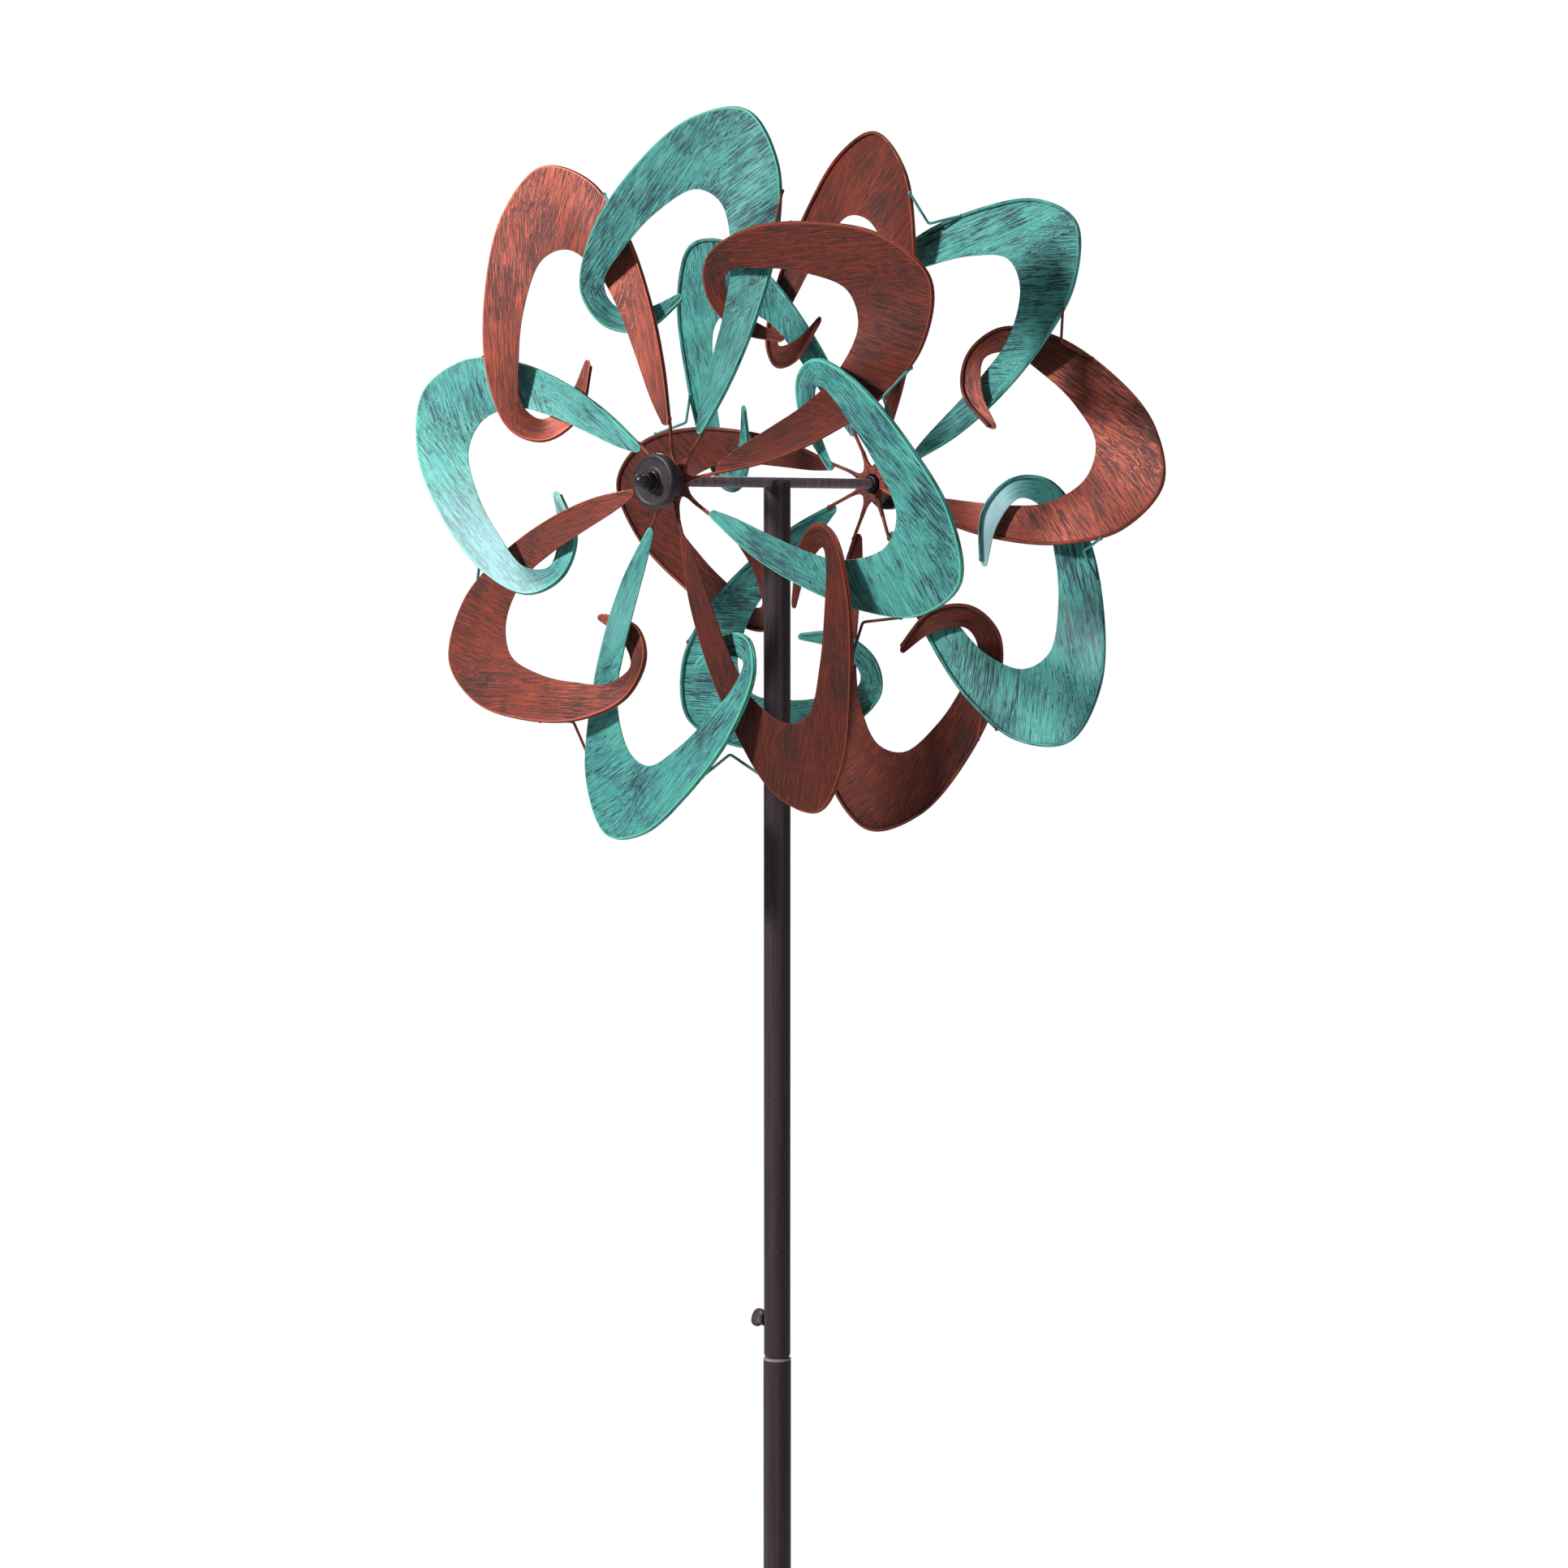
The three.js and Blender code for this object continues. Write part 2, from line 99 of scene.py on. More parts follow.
# ---------------------------------------------------------------- node materials
class Paint:
    """A procedural material, with short names for the nodes that it is built from."""

    def __init__(self, name):
        self.material = bpy.data.materials.new(name)
        self.material.use_nodes = True
        self.tree = self.material.node_tree
        self.tree.nodes.clear()
        self.shader = self.node("ShaderNodeBsdfPrincipled")
        output = self.node("ShaderNodeOutputMaterial")
        self.link(self.shader.outputs[0], output.inputs["Surface"])

    def node(self, kind, **settings):
        node = self.tree.nodes.new(kind)
        for key, value in settings.items():
            setattr(node, key, value)
        return node

    def link(self, output, target):
        self.tree.links.new(output, target)

    def feed(self, target, value):
        if isinstance(value, bpy.types.NodeSocket):
            self.link(value, target)
        else:
            target.default_value = value

    def attribute(self, name, output="Vector"):
        return self.node("ShaderNodeAttribute", attribute_name=name).outputs[output]

    def position(self):
        return self.node("ShaderNodeTexCoord").outputs["Object"]

    def math(self, operation, first, second=0.0):
        node = self.node("ShaderNodeMath", operation=operation)
        self.feed(node.inputs[0], first)
        self.feed(node.inputs[1], second)
        return node.outputs[0]

    def stretch(self, vector, scale, turn=0.0):
        """The vector turned so that its x runs along the angle, then multiplied by the scale."""
        node = self.node("ShaderNodeMapping", vector_type="TEXTURE")
        self.link(vector, node.inputs["Vector"])
        node.inputs["Rotation"].default_value = (0, 0, math.radians(turn))
        node.inputs["Scale"].default_value = tuple(1 / part for part in scale)
        return node.outputs[0]

    def offset(self, vector, shift):
        node = self.node("ShaderNodeVectorMath", operation="ADD")
        self.link(vector, node.inputs[0])
        node.inputs[1].default_value = shift
        return node.outputs[0]

    def noise(self, vector, scale, detail=2.0, roughness=0.5, distortion=0.0):
        node = self.node("ShaderNodeTexNoise")
        self.link(vector, node.inputs["Vector"])
        node.inputs["Scale"].default_value = scale
        node.inputs["Detail"].default_value = detail
        node.inputs["Roughness"].default_value = roughness
        node.inputs["Distortion"].default_value = distortion
        return node.outputs["Fac"]

    def ramp(self, value, low, high, out_low=0.0, out_high=1.0):
        node = self.node("ShaderNodeMapRange", interpolation_type="SMOOTHSTEP")
        self.feed(node.inputs["Value"], value)
        node.inputs["From Min"].default_value = low
        node.inputs["From Max"].default_value = high
        node.inputs["To Min"].default_value = out_low
        node.inputs["To Max"].default_value = out_high
        return node.outputs["Result"]

    def mix_colour(self, factor, first, second, blend="MIX"):
        node = self.node("ShaderNodeMix", data_type="RGBA", blend_type=blend)
        self.feed(node.inputs["Factor"], factor)
        self.feed(node.inputs[6], first)
        self.feed(node.inputs[7], second)
        return node.outputs[2]

    def mix_vector(self, factor, first, second):
        node = self.node("ShaderNodeMix", data_type="VECTOR")
        self.feed(node.inputs[0], factor)
        self.feed(node.inputs[4], first)
        self.feed(node.inputs[5], second)
        return node.outputs[1]

    def bump(self, height, distance, strength=1.0, under=None):
        node = self.node("ShaderNodeBump")
        node.inputs["Strength"].default_value = strength
        node.inputs["Distance"].default_value = distance
        self.link(height, node.inputs["Height"])
        if under is not None:
            self.link(under, node.inputs["Normal"])
        return node.outputs[0]

    def finish(self, colour, roughness, normal=None, metallic=0.0, coat=0.0, specular=0.5):
        self.feed(self.shader.inputs["Base Color"], colour)
        self.feed(self.shader.inputs["Roughness"], roughness)
        self.shader.inputs["Metallic"].default_value = metallic
        self.shader.inputs["Coat Weight"].default_value = coat
        self.shader.inputs["Coat Roughness"].default_value = 0.35
        self.shader.inputs["Specular IOR Level"].default_value = specular
        if normal is not None:
            self.link(normal, self.shader.inputs["Normal"])
        return self.material


def colour(red, green, blue):
    """An sRGB colour, 0 to 255, as the linear colour that a shader takes."""

    def linear(part):
        part /= 255
        return part / 12.92 if part <= 0.04045 else ((part + 0.055) / 1.055) ** 2.4

    return (linear(red), linear(green), linear(blue), 1.0)


def brushed_paint(name, deep, base, bright, streak, streak_low, streak_high, edge, highlight_colour, metallic, coat):
    """Metallic lacquer with a dark glaze dragged over it by hand, in short strokes.

    The strokes follow the strip near its two ends, and run straight across its wide outer bend.
    """
    paint = Paint(name)
    plan = paint.attribute("plan")
    strip = paint.attribute("strip")
    along = paint.attribute("along", "Fac")
    rim = paint.attribute("rim", "Fac")
    tone = paint.attribute("tone", "Fac")
    # Strength of the painted highlight, a pale painted sheen, at each point.
    painted_highlight = paint.attribute("painted_highlight", "Fac")

    stroke = (44, 1100, 1)
    wobble = paint.noise(plan, 150, detail=4, roughness=0.6)
    place = paint.math("ADD", along, paint.math("MULTIPLY", paint.math("SUBTRACT", wobble, 0.5), 0.42))
    follow = paint.stretch(strip, stroke)
    bend_start, bend_end = paint.stretch(plan, stroke, 118), paint.stretch(plan, stroke, 136)
    vector = follow
    for start, strokes in ((0.22, bend_start), (0.46, bend_end), (0.76, follow)):
        vector = paint.mix_vector(paint.math("GREATER_THAN", place, start), vector, strokes)

    fine = paint.noise(vector, 1.0, detail=3, roughness=0.6, distortion=0.1)
    hairs = paint.noise(paint.offset(vector, (9, 23, 2)), 1.8, detail=2, roughness=0.6, distortion=0.1)
    wash = paint.noise(vector, 0.5, detail=4, roughness=0.65, distortion=0.1)
    shine = paint.noise(paint.offset(vector, (31, 17, 5)), 1.1, detail=3, roughness=0.6, distortion=0.1)
    cloud = paint.noise(plan, 22, detail=3, roughness=0.6)

    load = paint.math("MULTIPLY", paint.math("SUBTRACT", cloud, 0.5), 0.32)
    # Near the edges the dark glaze is wiped thin, and the paint turns to the lighter edge colour, a painted
    # highlight along the rim.
    edge_wipe_and_highlight = paint.ramp(rim, 0.0006, 0.0022)
    marks = paint.ramp(paint.math("ADD", fine, load), streak_low, streak_high)
    hairs = paint.ramp(paint.math("ADD", hairs, load), streak_low + 0.03, streak_high + 0.03, 0.0, 0.9)
    glaze = paint.math("MULTIPLY", paint.math("MAXIMUM", marks, hairs), edge_wipe_and_highlight)

    body = paint.mix_colour(paint.ramp(wash, 0.38, 0.62), deep, base)
    body = paint.mix_colour(paint.ramp(shine, 0.48, 0.66, 0.0, 0.68), body, bright)
    # Painted highlight along the edges: the lighter edge colour.
    body = paint.mix_colour(paint.math("SUBTRACT", 1.0, edge_wipe_and_highlight), body, edge)
    body = paint.mix_colour(paint.math("MULTIPLY", glaze, 0.94), body, streak)
    # Painted shade and light: a negative tone darkens the paint (painted shade), a positive one brightens it
    # toward the bright colour (painted highlight).
    body = paint.mix_colour(paint.ramp(tone, 0, -1), body, (0.36, 0.33, 0.34, 1), "MULTIPLY")
    body = paint.mix_colour(paint.ramp(tone, 0, 1, 0, 0.6), body, bright)
    # Painted highlight: a pale sheen, broken up by the wash noise, laid where the sheen strength is set; it
    # stands for the lamp's broad reflection.
    drawn = paint.math("ADD", painted_highlight, paint.math("MULTIPLY", paint.math("SUBTRACT", wash, 0.5), 0.9))
    highlight_mask = paint.math("MULTIPLY", paint.ramp(drawn, 0.2, 1.0), paint.ramp(painted_highlight, 0.0, 0.2))
    body = paint.mix_colour(highlight_mask, body, highlight_colour)

    roughness = paint.math("ADD", 0.42, paint.math("MULTIPLY", glaze, 0.12))
    roughness = paint.math("ADD", roughness, paint.math("MULTIPLY", wash, 0.08))
    dents = paint.bump(paint.noise(plan, 11, detail=1), 0.0016, 0.5)
    normal = paint.bump(paint.math("SUBTRACT", fine, glaze), 0.0001, 0.3, dents)
    return paint.finish(body, roughness, normal, metallic, coat=coat, specular=0.2)


def satin_paint(name, dark, light, roughness, coat=0.0, streaks=True):
    """Baked paint on steel: fine orange peel, faint drawn streaks, dust, and a painted highlight, a lighter
    band where a piece sets its highlight strength.
    """
    paint = Paint(name)
    position = paint.position()
    drawn = paint.noise(paint.stretch(position, (260, 260, 6)), 1.0, detail=3)
    dust = paint.noise(position, 70, detail=4, roughness=0.65)
    specks = paint.ramp(paint.noise(position, 420, detail=1), 0.7, 0.76)
    tone = paint.ramp(drawn if streaks else dust, 0.32, 0.7)
    body = paint.mix_colour(tone, dark, light)
    body = paint.mix_colour(paint.math("MULTIPLY", specks, 0.35), body, colour(120, 108, 108))
    painted_highlight = paint.attribute("painted_highlight", "Fac")
    # Painted highlight: a lighter band where the piece's highlight strength is set, broken up by the dust
    # noise.
    painted_lit_band = paint.math("ADD", painted_highlight, paint.math("SUBTRACT", dust, 0.5))
    painted_lit_band = paint.math("MULTIPLY", paint.ramp(painted_lit_band, 0.3, 0.8), paint.ramp(painted_highlight, 0, 0.1))
    body = paint.mix_colour(painted_lit_band, body, colour(150, 134, 130))
    rough = paint.math("ADD", roughness, paint.math("MULTIPLY", paint.math("SUBTRACT", dust, 0.5), 0.22))
    normal = paint.bump(paint.noise(position, 900, detail=2), 0.00008, 0.6)
    return paint.finish(body, rough, normal, coat=coat, specular=0.25)


def bare_steel(name):
    """Turned bearing steel, with fine rings and a film of grease."""
    paint = Paint(name)
    position = paint.position()
    rings = paint.noise(paint.stretch(position, (300, 1600, 300)), 1.0, detail=2)
    film = paint.noise(position, 130, detail=3)
    body = paint.mix_colour(paint.ramp(film, 0.4, 0.7), colour(178, 178, 180), colour(128, 124, 120))
    rough = paint.ramp(rings, 0.3, 0.7, 0.2, 0.38)
    return paint.finish(body, rough, paint.bump(rings, 0.00003, 0.5), metallic=1.0)


VERDIGRIS = brushed_paint(
    "verdigris_paint",
    deep=colour(64, 150, 144),
    base=colour(86, 176, 163),
    bright=colour(126, 192, 189),
    streak=colour(44, 54, 74),
    streak_low=0.54,
    streak_high=0.58,
    # The lighter edge colour is a painted highlight along the rim.
    edge=colour(104, 208, 178),
    # Colour of the painted highlight, a pale painted sheen.
    highlight_colour=colour(150, 188, 194),
    metallic=0.1,
    coat=0.08,
)
COPPER = brushed_paint(
    "copper_paint",
    deep=colour(110, 59, 51),
    base=colour(144, 69, 54),
    bright=colour(197, 83, 58),
    streak=colour(68, 51, 49),
    streak_low=0.53,
    streak_high=0.58,
    # The lighter edge colour is a painted highlight along the rim.
    edge=colour(188, 94, 73),
    # Colour of the painted highlight, a pale painted sheen.
    highlight_colour=colour(192, 130, 116),
    metallic=0.35,
    coat=0.0,
)
POLE_PAINT = satin_paint("pole_paint", colour(55, 44, 48), colour(69, 56, 61), 0.42)
# The pole's paint made lighter for the axle: a painted highlight where the horizontal bar catches the light.
LIT_AXLE_PAINT = satin_paint("lit_axle_paint", colour(110, 95, 102), colour(136, 120, 128), 0.4)
CAP_PAINT = satin_paint("cap_paint", colour(50, 43, 48), colour(64, 57, 64), 0.42, streaks=False)
NUT_BLACK = satin_paint("nut_black", colour(26, 24, 27), colour(46, 43, 48), 0.28, coat=0.3, streaks=False)
STEEL = bare_steel("bearing_steel")


# ---------------------------------------------------------------- mesh helpers
class Shape:
    """Vertices and faces in a piece's own frame, with the values that the brushed paint reads."""

    def __init__(self):
        self.points = []
        self.faces = []
        self.plan = []
        self.strip = []
        self.along = []
        self.rim = []
        # Strength of the painted highlight at each point.
        self.painted_highlight = []
        self.tone = 0.0

    def point(self, position, strip=None, along=0.0, rim=1.0, plan=None, painted_highlight=0.0):
        self.points.append(Vector(position))
        self.strip.append(Vector(strip if strip is not None else (position[0], position[1], 0)))
        self.plan.append(Vector(plan if plan is not None else position))
        self.along.append(along)
        self.rim.append(rim)
        self.painted_highlight.append(painted_highlight)
        return len(self.points) - 1

    def skin(self, rows, capped=True):
        """Faces over a row of rings of the same length."""
        count = len(rows[0])
        for row, after in zip(rows, rows[1:]):
            for here in range(count):
                beside = (here + 1) % count
                self.faces.append((row[here], row[beside], after[beside], after[here]))
        if capped:
            self.faces.append(tuple(reversed(rows[0])))
            self.faces.append(tuple(rows[-1]))

    def tube(self, path, radius, sides=12, seed=0.0):
        """A round bar along a path, with domed ends."""
        start = (path[1] - path[0]).normalized()
        end = (path[-1] - path[-2]).normalized()
        dome = [(0.97, 0.3), (0.72, 0.72), (0.3, 0.97)]
        centres = [(path[0] - start * radius * out, radius * wide) for out, wide in dome]
        centres += [(point, radius) for point in path]
        centres += [(path[-1] + end * radius * out, radius * wide) for out, wide in reversed(dome)]
        normal = Vector((0, 0, 1))
        length = 0.0
        rows = []
        for step, (centre, size) in enumerate(centres):
            before = centres[max(step - 1, 0)][0]
            after = centres[min(step + 1, len(centres) - 1)][0]
            along = (after - before).normalized()
            normal = (normal - along * normal.dot(along)).normalized()
            across = along.cross(normal)
            length += (centre - before).length
            ring = []
            for side in range(sides):
                turn = 2 * math.pi * side / sides
                spot = centre + size * (normal * math.cos(turn) + across * math.sin(turn))
                ring.append(self.point(spot, (length, radius * turn, seed), 0.0, 1.0, (*spot.xy, seed)))
            rows.append(ring)
        self.skin(rows)

    def turned(self, profile, sides=48, closed=True):
        """A solid turned about z. An open profile starts and ends on the axis."""
        rows = []
        for radius, height in profile:
            ring = []
            for side in range(sides):
                turn = 2 * math.pi * side / sides
                spot = (radius * math.cos(turn), radius * math.sin(turn), height)
                ring.append(self.point(spot, (radius * turn, height, 0)))
            rows.append(ring)
        if closed:
            self.skin(rows + rows[:1], capped=False)
        else:
            self.skin(rows)


def arc(start, corner, end, steps):
    """Points along a curve from start to end that turns at a corner."""
    parts = [step / steps for step in range(steps + 1)]
    return [start.lerp(corner, part).lerp(corner.lerp(end, part), part) for part in parts]


def rounded_profile(corners):
    """A closed profile of (radius, height, fillet) corners, with each corner rounded."""
    steps = 4
    profile = []
    for number, (radius, height, fillet) in enumerate(corners):
        corner = Vector((radius, height))
        if fillet == 0:
            profile.append((radius, height))
            continue
        before = Vector(corners[number - 1][:2])
        after = Vector(corners[(number + 1) % len(corners)][:2])
        start = corner + (before - corner).normalized() * fillet
        end = corner + (after - corner).normalized() * fillet
        profile += [tuple(spot) for spot in arc(start, corner, end, steps)]
    return profile


def mend(mesh):
    """Merges vertices that lie together, and points every face outwards."""
    tidy = bmesh.new()
    tidy.from_mesh(mesh)
    bmesh.ops.remove_doubles(tidy, verts=tidy.verts, dist=1e-7)
    bmesh.ops.recalc_face_normals(tidy, faces=tidy.faces)
    tidy.to_mesh(mesh)
    tidy.free()


def make_piece(name, shape, material, body, nodes=(), place=Matrix(), sharp=35, bevel=0.0):
    """A mesh object from a shape, moved into place, riding on its body and standing for its CAD nodes."""
    mesh = bpy.data.meshes.new(name)
    mesh.from_pydata([place @ point for point in shape.points], [], shape.faces)
    for label, kind, values in (
        ("plan", "FLOAT_VECTOR", [part for value in shape.plan for part in value]),
        ("strip", "FLOAT_VECTOR", [part for value in shape.strip for part in value]),
        ("along", "FLOAT", shape.along),
        ("rim", "FLOAT", shape.rim),
        ("painted_highlight", "FLOAT", shape.painted_highlight),
        ("tone", "FLOAT", [shape.tone] * len(shape.points)),
    ):
        attribute = mesh.attributes.new(label, kind, "POINT")
        attribute.data.foreach_set("vector" if kind == "FLOAT_VECTOR" else "value", values)
    mend(mesh)
    mesh.shade_smooth()
    mesh.set_sharp_from_angle(angle=math.radians(sharp))
    mesh.materials.append(material)
    piece = bpy.data.objects.new(name, mesh)
    bpy.context.scene.collection.objects.link(piece)
    if bevel:
        rounding = piece.modifiers.new("rounding", "BEVEL")
        rounding.width = bevel
        rounding.segments = 3
        rounding.limit_method = "ANGLE"
        rounding.angle_limit = math.radians(35)
        rounding.harden_normals = True
    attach(piece, body)
    if nodes:
        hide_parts(*nodes)
    return piece


def rotor_place(side, turn):
    """From a rotor's own frame, turned by an angle in degrees, to the object's frame."""
    sign = SIDES[side]
    cosine = math.cos(math.radians(turn))
    sine = math.sin(math.radians(turn))
    return Matrix(
        (
            (cosine, -sine, 0, 0),
            (0, 0, sign, sign * HUB_OFFSET),
            (sine, cosine, 0, AXLE_HEIGHT),
            (0, 0, 0, 1),
        )
    )


# ---------------------------------------------------------------- blades
SHEET = 1.2 * MM
ROD_RADIUS = 1.5 * MM

# Lines across the blade, in millimetres, from the hub to the tip: the outer edge, then the inner edge.
BLADE_STATIONS = [
    ((36, -29, 0), (41, -24, 0)),
    ((80, -61, -1), (65, -31, 1)),
    ((130, -87, -4), (104, -46, 1)),
    ((190, -107, -7), (140, -59, 1)),
    ((250, -111, -5), (180, -67, 2)),
    ((295, -85, 1), (222, -57, 1)),
    ((293, -34, 11), (236, -32, 4)),
    ((261, 19, 18), (220, 7, 9)),
    ((209, 71, 19), (195, 41, 10)),
    ((160, 92, 12), (167, 69, 7)),
    ((132, 78, 0), (149, 69, -4)),
    ((126, 45, -13), (145, 40, -12)),
    ((150, 4, -18), (156, 5, -17)),
]


def centripetal(points, fraction):
    """A centripetal Catmull-Rom curve through the points."""
    reach = (len(points) - 1) * fraction
    first = min(int(reach), len(points) - 2)
    weight = reach - first
    middle, after = points[first], points[first + 1]
    before = points[first - 1] if first > 0 else 2 * points[0] - points[1]
    beyond = points[first + 2] if first + 2 < len(points) else 2 * points[-1] - points[-2]
    gaps = [(b - a).length ** 0.5 for a, b in ((before, middle), (middle, after), (after, beyond))]
    out = (middle - before) / gaps[0] - (after - before) / (gaps[0] + gaps[1]) + (after - middle) / gaps[1]
    into = (after - middle) / gaps[1] - (beyond - middle) / (gaps[1] + gaps[2]) + (beyond - after) / gaps[2]
    out, into = out * gaps[1], into * gaps[1]
    square = -3 * middle + 3 * after - 2 * out - into
    cube = 2 * middle - 2 * after + out + into
    return middle + out * weight + square * weight**2 + cube * weight**3


OUTER_EDGE = [Vector(outer) * MM for outer, inner in BLADE_STATIONS]
INNER_EDGE = [Vector(inner) * MM for outer, inner in BLADE_STATIONS]


def blade_line(fraction):
    """The line across the blade at a fraction of its length, with its direction across and its normal."""
    outer = centripetal(OUTER_EDGE, fraction)
    inner = centripetal(INNER_EDGE, fraction)
    low, high = max(fraction - 0.002, 0), min(fraction + 0.002, 1)
    run = [centripetal(edge, high) - centripetal(edge, low) for edge in (OUTER_EDGE, INNER_EDGE)]
    along = run[0].normalized() + run[1].normalized()
    across = (inner - outer).normalized()
    return outer, inner, across, along.cross(across).normalized()


# Painted shade and light, blade by blade: dark (-1) to bright (1), the light or shade each blade gets at rest
# painted into its colour.
PAINTED_BLADE_SHADING = {
    "front_blade_1": -0.1,
    "front_blade_2": -0.55,
    "front_blade_3": -0.3,
    "front_blade_4": 0.05,
    "front_blade_6": -0.25,
    "front_blade_8": -0.6,
    "back_blade_1": 0.1,
    "back_blade_3": -0.4,
    "back_blade_4": -0.15,
    "back_blade_5": -0.5,
    "back_blade_6": -0.1,
    "back_blade_7": -0.55,
}

# Where a pale painted sheen, a painted highlight for the lamp's broad reflection, lies on the verdigris: (part
# of the length, half of its width, strength).
PAINTED_HIGHLIGHTS = {
    "front_blade_5": ((0.68, 0.19, 0.7), (0.99, 0.08, 0.5), (0.2, 0.1, 0.25)),
    "back_blade_8": ((0.55, 0.08, 0.45), (0.94, 0.17, 0.9)),
    "front_blade_1": ((0.86, 0.06, 0.3),),
    "front_blade_7": ((0.16, 0.09, 0.4),),
}


def painted_highlight_at(blade, fraction):
    """The strength of a blade's painted sheen at a fraction of its length."""
    spots = PAINTED_HIGHLIGHTS.get(blade, ())
    peaks = [strength * max(1 - ((fraction - middle) / wide) ** 2, 0) for middle, wide, strength in spots]
    return max(peaks, default=0)


def blade_shape(blade, seed):
    """A ruled strip of sheet metal with rounded edges and rounded ends."""
    steps = 132
    fractions = [step / steps for step in range(steps + 1)]
    ends = (0.0012, 0.0026, 0.0045)
    fractions = sorted(fractions + list(ends) + [1 - part for part in ends])
    lines = [blade_line(fraction) for fraction in fractions]
    middles = [(outer + inner) / 2 for outer, inner, across, normal in lines]
    lengths = [0.0]
    for before, after in zip(middles, middles[1:]):
        lengths.append(lengths[-1] + (after - before).length)
    columns = (0.06, 0.16, 0.3, 0.5, 0.7, 0.84, 0.94)
    half = SHEET / 2
    shape = Shape()
    shape.tone = PAINTED_BLADE_SHADING.get(blade, 0.0)
    rows = []
    for fraction, length, (outer, inner, across, normal) in zip(fractions, lengths, lines):
        painted_highlight = painted_highlight_at(blade, fraction)
        width = (inner - outer).length
        from_end = min(length, lengths[-1] - length)
        reach = min(width / 2, 3.2 * MM)
        narrow = math.sqrt(max(1 - (1 - min(from_end / reach, 1)) ** 2, 0.04))
        middle = (outer + inner) / 2
        half_width = width / 2 * narrow
        first = middle - across * half_width
        lip = min(0.35 * MM, half_width * 0.4)
        ring = []

        def add(along_line, lift):
            spot = first + across * along_line + normal * lift
            edge = min(along_line, 2 * half_width - along_line + 1.2 * MM, from_end + 0.6 * MM)
            strip = (length, along_line, seed)
            plan = (spot.x, spot.y, seed)
            ring.append(shape.point(spot, strip, fraction, max(edge, 0.0), plan, painted_highlight))

        inside = [lip + (2 * half_width - 2 * lip) * column for column in columns]
        row = [lip, *inside, 2 * half_width - lip]
        add(0.0, 0.0)
        for along_line in row:
            add(along_line, half)
        add(2 * half_width, 0.0)
        for along_line in reversed(row):
            add(along_line, -half)
        rows.append(ring)
    shape.skin(rows)
    return shape


# ---------------------------------------------------------------- rim rods and link wires
ARM_TURN = math.radians(-39)
ARM_REACH = 30 * MM
ROD_DROP = SHEET / 2 + ROD_RADIUS + 0.15 * MM
LINK_START = 0.615
LINK_END = 0.3
LINK_BEND = Vector((224, 60, 4)) * MM
LINK_RADIUS = 1.2 * MM


def rim_point(fraction):
    """The middle of the rim rod, which lies under the blade's outer edge."""
    outer, _, across, normal = blade_line(fraction)
    return outer + across * MM - normal * ROD_DROP


def blob(shape, centre, size, seed, rough=0.18):
    """A small lump of weld metal."""
    rows = []
    rings, sides = 7, 10
    for ring in range(rings + 1):
        tilt = math.pi * (0.02 + 0.96 * ring / rings)
        row = []
        for side in range(sides):
            turn = 2 * math.pi * side / sides
            way = Vector((math.sin(tilt) * math.cos(turn), math.sin(tilt) * math.sin(turn), math.cos(tilt)))
            swell = 1 + rough * noise.noise(way * 1.7 + Vector((seed, seed, seed)))
            spot = centre + Vector((way.x * size[0], way.y * size[1], way.z * size[2])) * swell
            row.append(shape.point(spot, (spot.x, spot.y, seed), 0.0, 1.0, (spot.x, spot.y, seed)))
        rows.append(row)
    shape.skin(rows)


def smooth_path(corners, radius):
    """A path through corners, with each inner corner rounded."""
    steps = 6
    path = [corners[0]]
    for before, corner, after in zip(corners, corners[1:], corners[2:]):
        start = corner + (before - corner).normalized() * radius
        end = corner + (after - corner).normalized() * radius
        path += arc(start, corner, end, steps)
    path.append(corners[-1])
    return path


def rim_rod_shape(seed):
    """A rim rod, with the link wire that joins it to the next blade's rod and the weld at each end."""
    shape = Shape()
    steps = 120
    path = [rim_point(step / steps) for step in range(steps)]
    shape.tube(path, ROD_RADIUS, 12, seed)
    next_blade = Matrix.Rotation(2 * math.pi / BLADE_COUNT, 4, "Z")
    across = blade_line(LINK_END)[2]
    clear = ROD_RADIUS + LINK_RADIUS - 0.3 * MM
    finish = next_blade @ (rim_point(LINK_END) - across * clear)
    start = rim_point(LINK_START)
    shape.tube(smooth_path([start, LINK_BEND, finish], 2.5 * MM), LINK_RADIUS, 10, seed + 0.3)
    blob(shape, start, (2.0 * MM, 2.0 * MM, 1.8 * MM), seed)
    blob(shape, finish + (finish - LINK_BEND).normalized() * MM, (1.9 * MM, 1.9 * MM, 1.6 * MM), seed + 1)
    return shape


def arm_root_shape(seed):
    """The bare copper end of a rim rod, between the hub's arm and the blade, with its weld."""
    shape = Shape()
    arm_end = Vector((math.cos(ARM_TURN), math.sin(ARM_TURN), 0)) * (ARM_REACH - 1.5 * MM)
    # Brighter than the blade paint: a painted highlight on the thin arm rods.
    shape.tone = 0.15
    shape.tube([arm_end, rim_point(0), rim_point(0.012)], ROD_RADIUS * 1.02, 12, seed)
    blob(shape, rim_point(0.01), (2.6 * MM, 2.2 * MM, 1.8 * MM), seed + 2)
    return shape


# ---------------------------------------------------------------- hub
ARM_HALF_WIDTH = 1.3 * MM
STAR_VALLEY = 15 * MM
STAR_BORE = 8.5 * MM
STAR_HALF = 2 * MM
BARREL_START = 2.3 * MM
BARREL_END = 25.2 * MM
CAP_START = 18.5 * MM
CAP_END = 28 * MM
FLANGE_START = CAP_END + 0.6 * MM
NUT_START = FLANGE_START + 1.8 * MM
NUT_END = 46 * MM


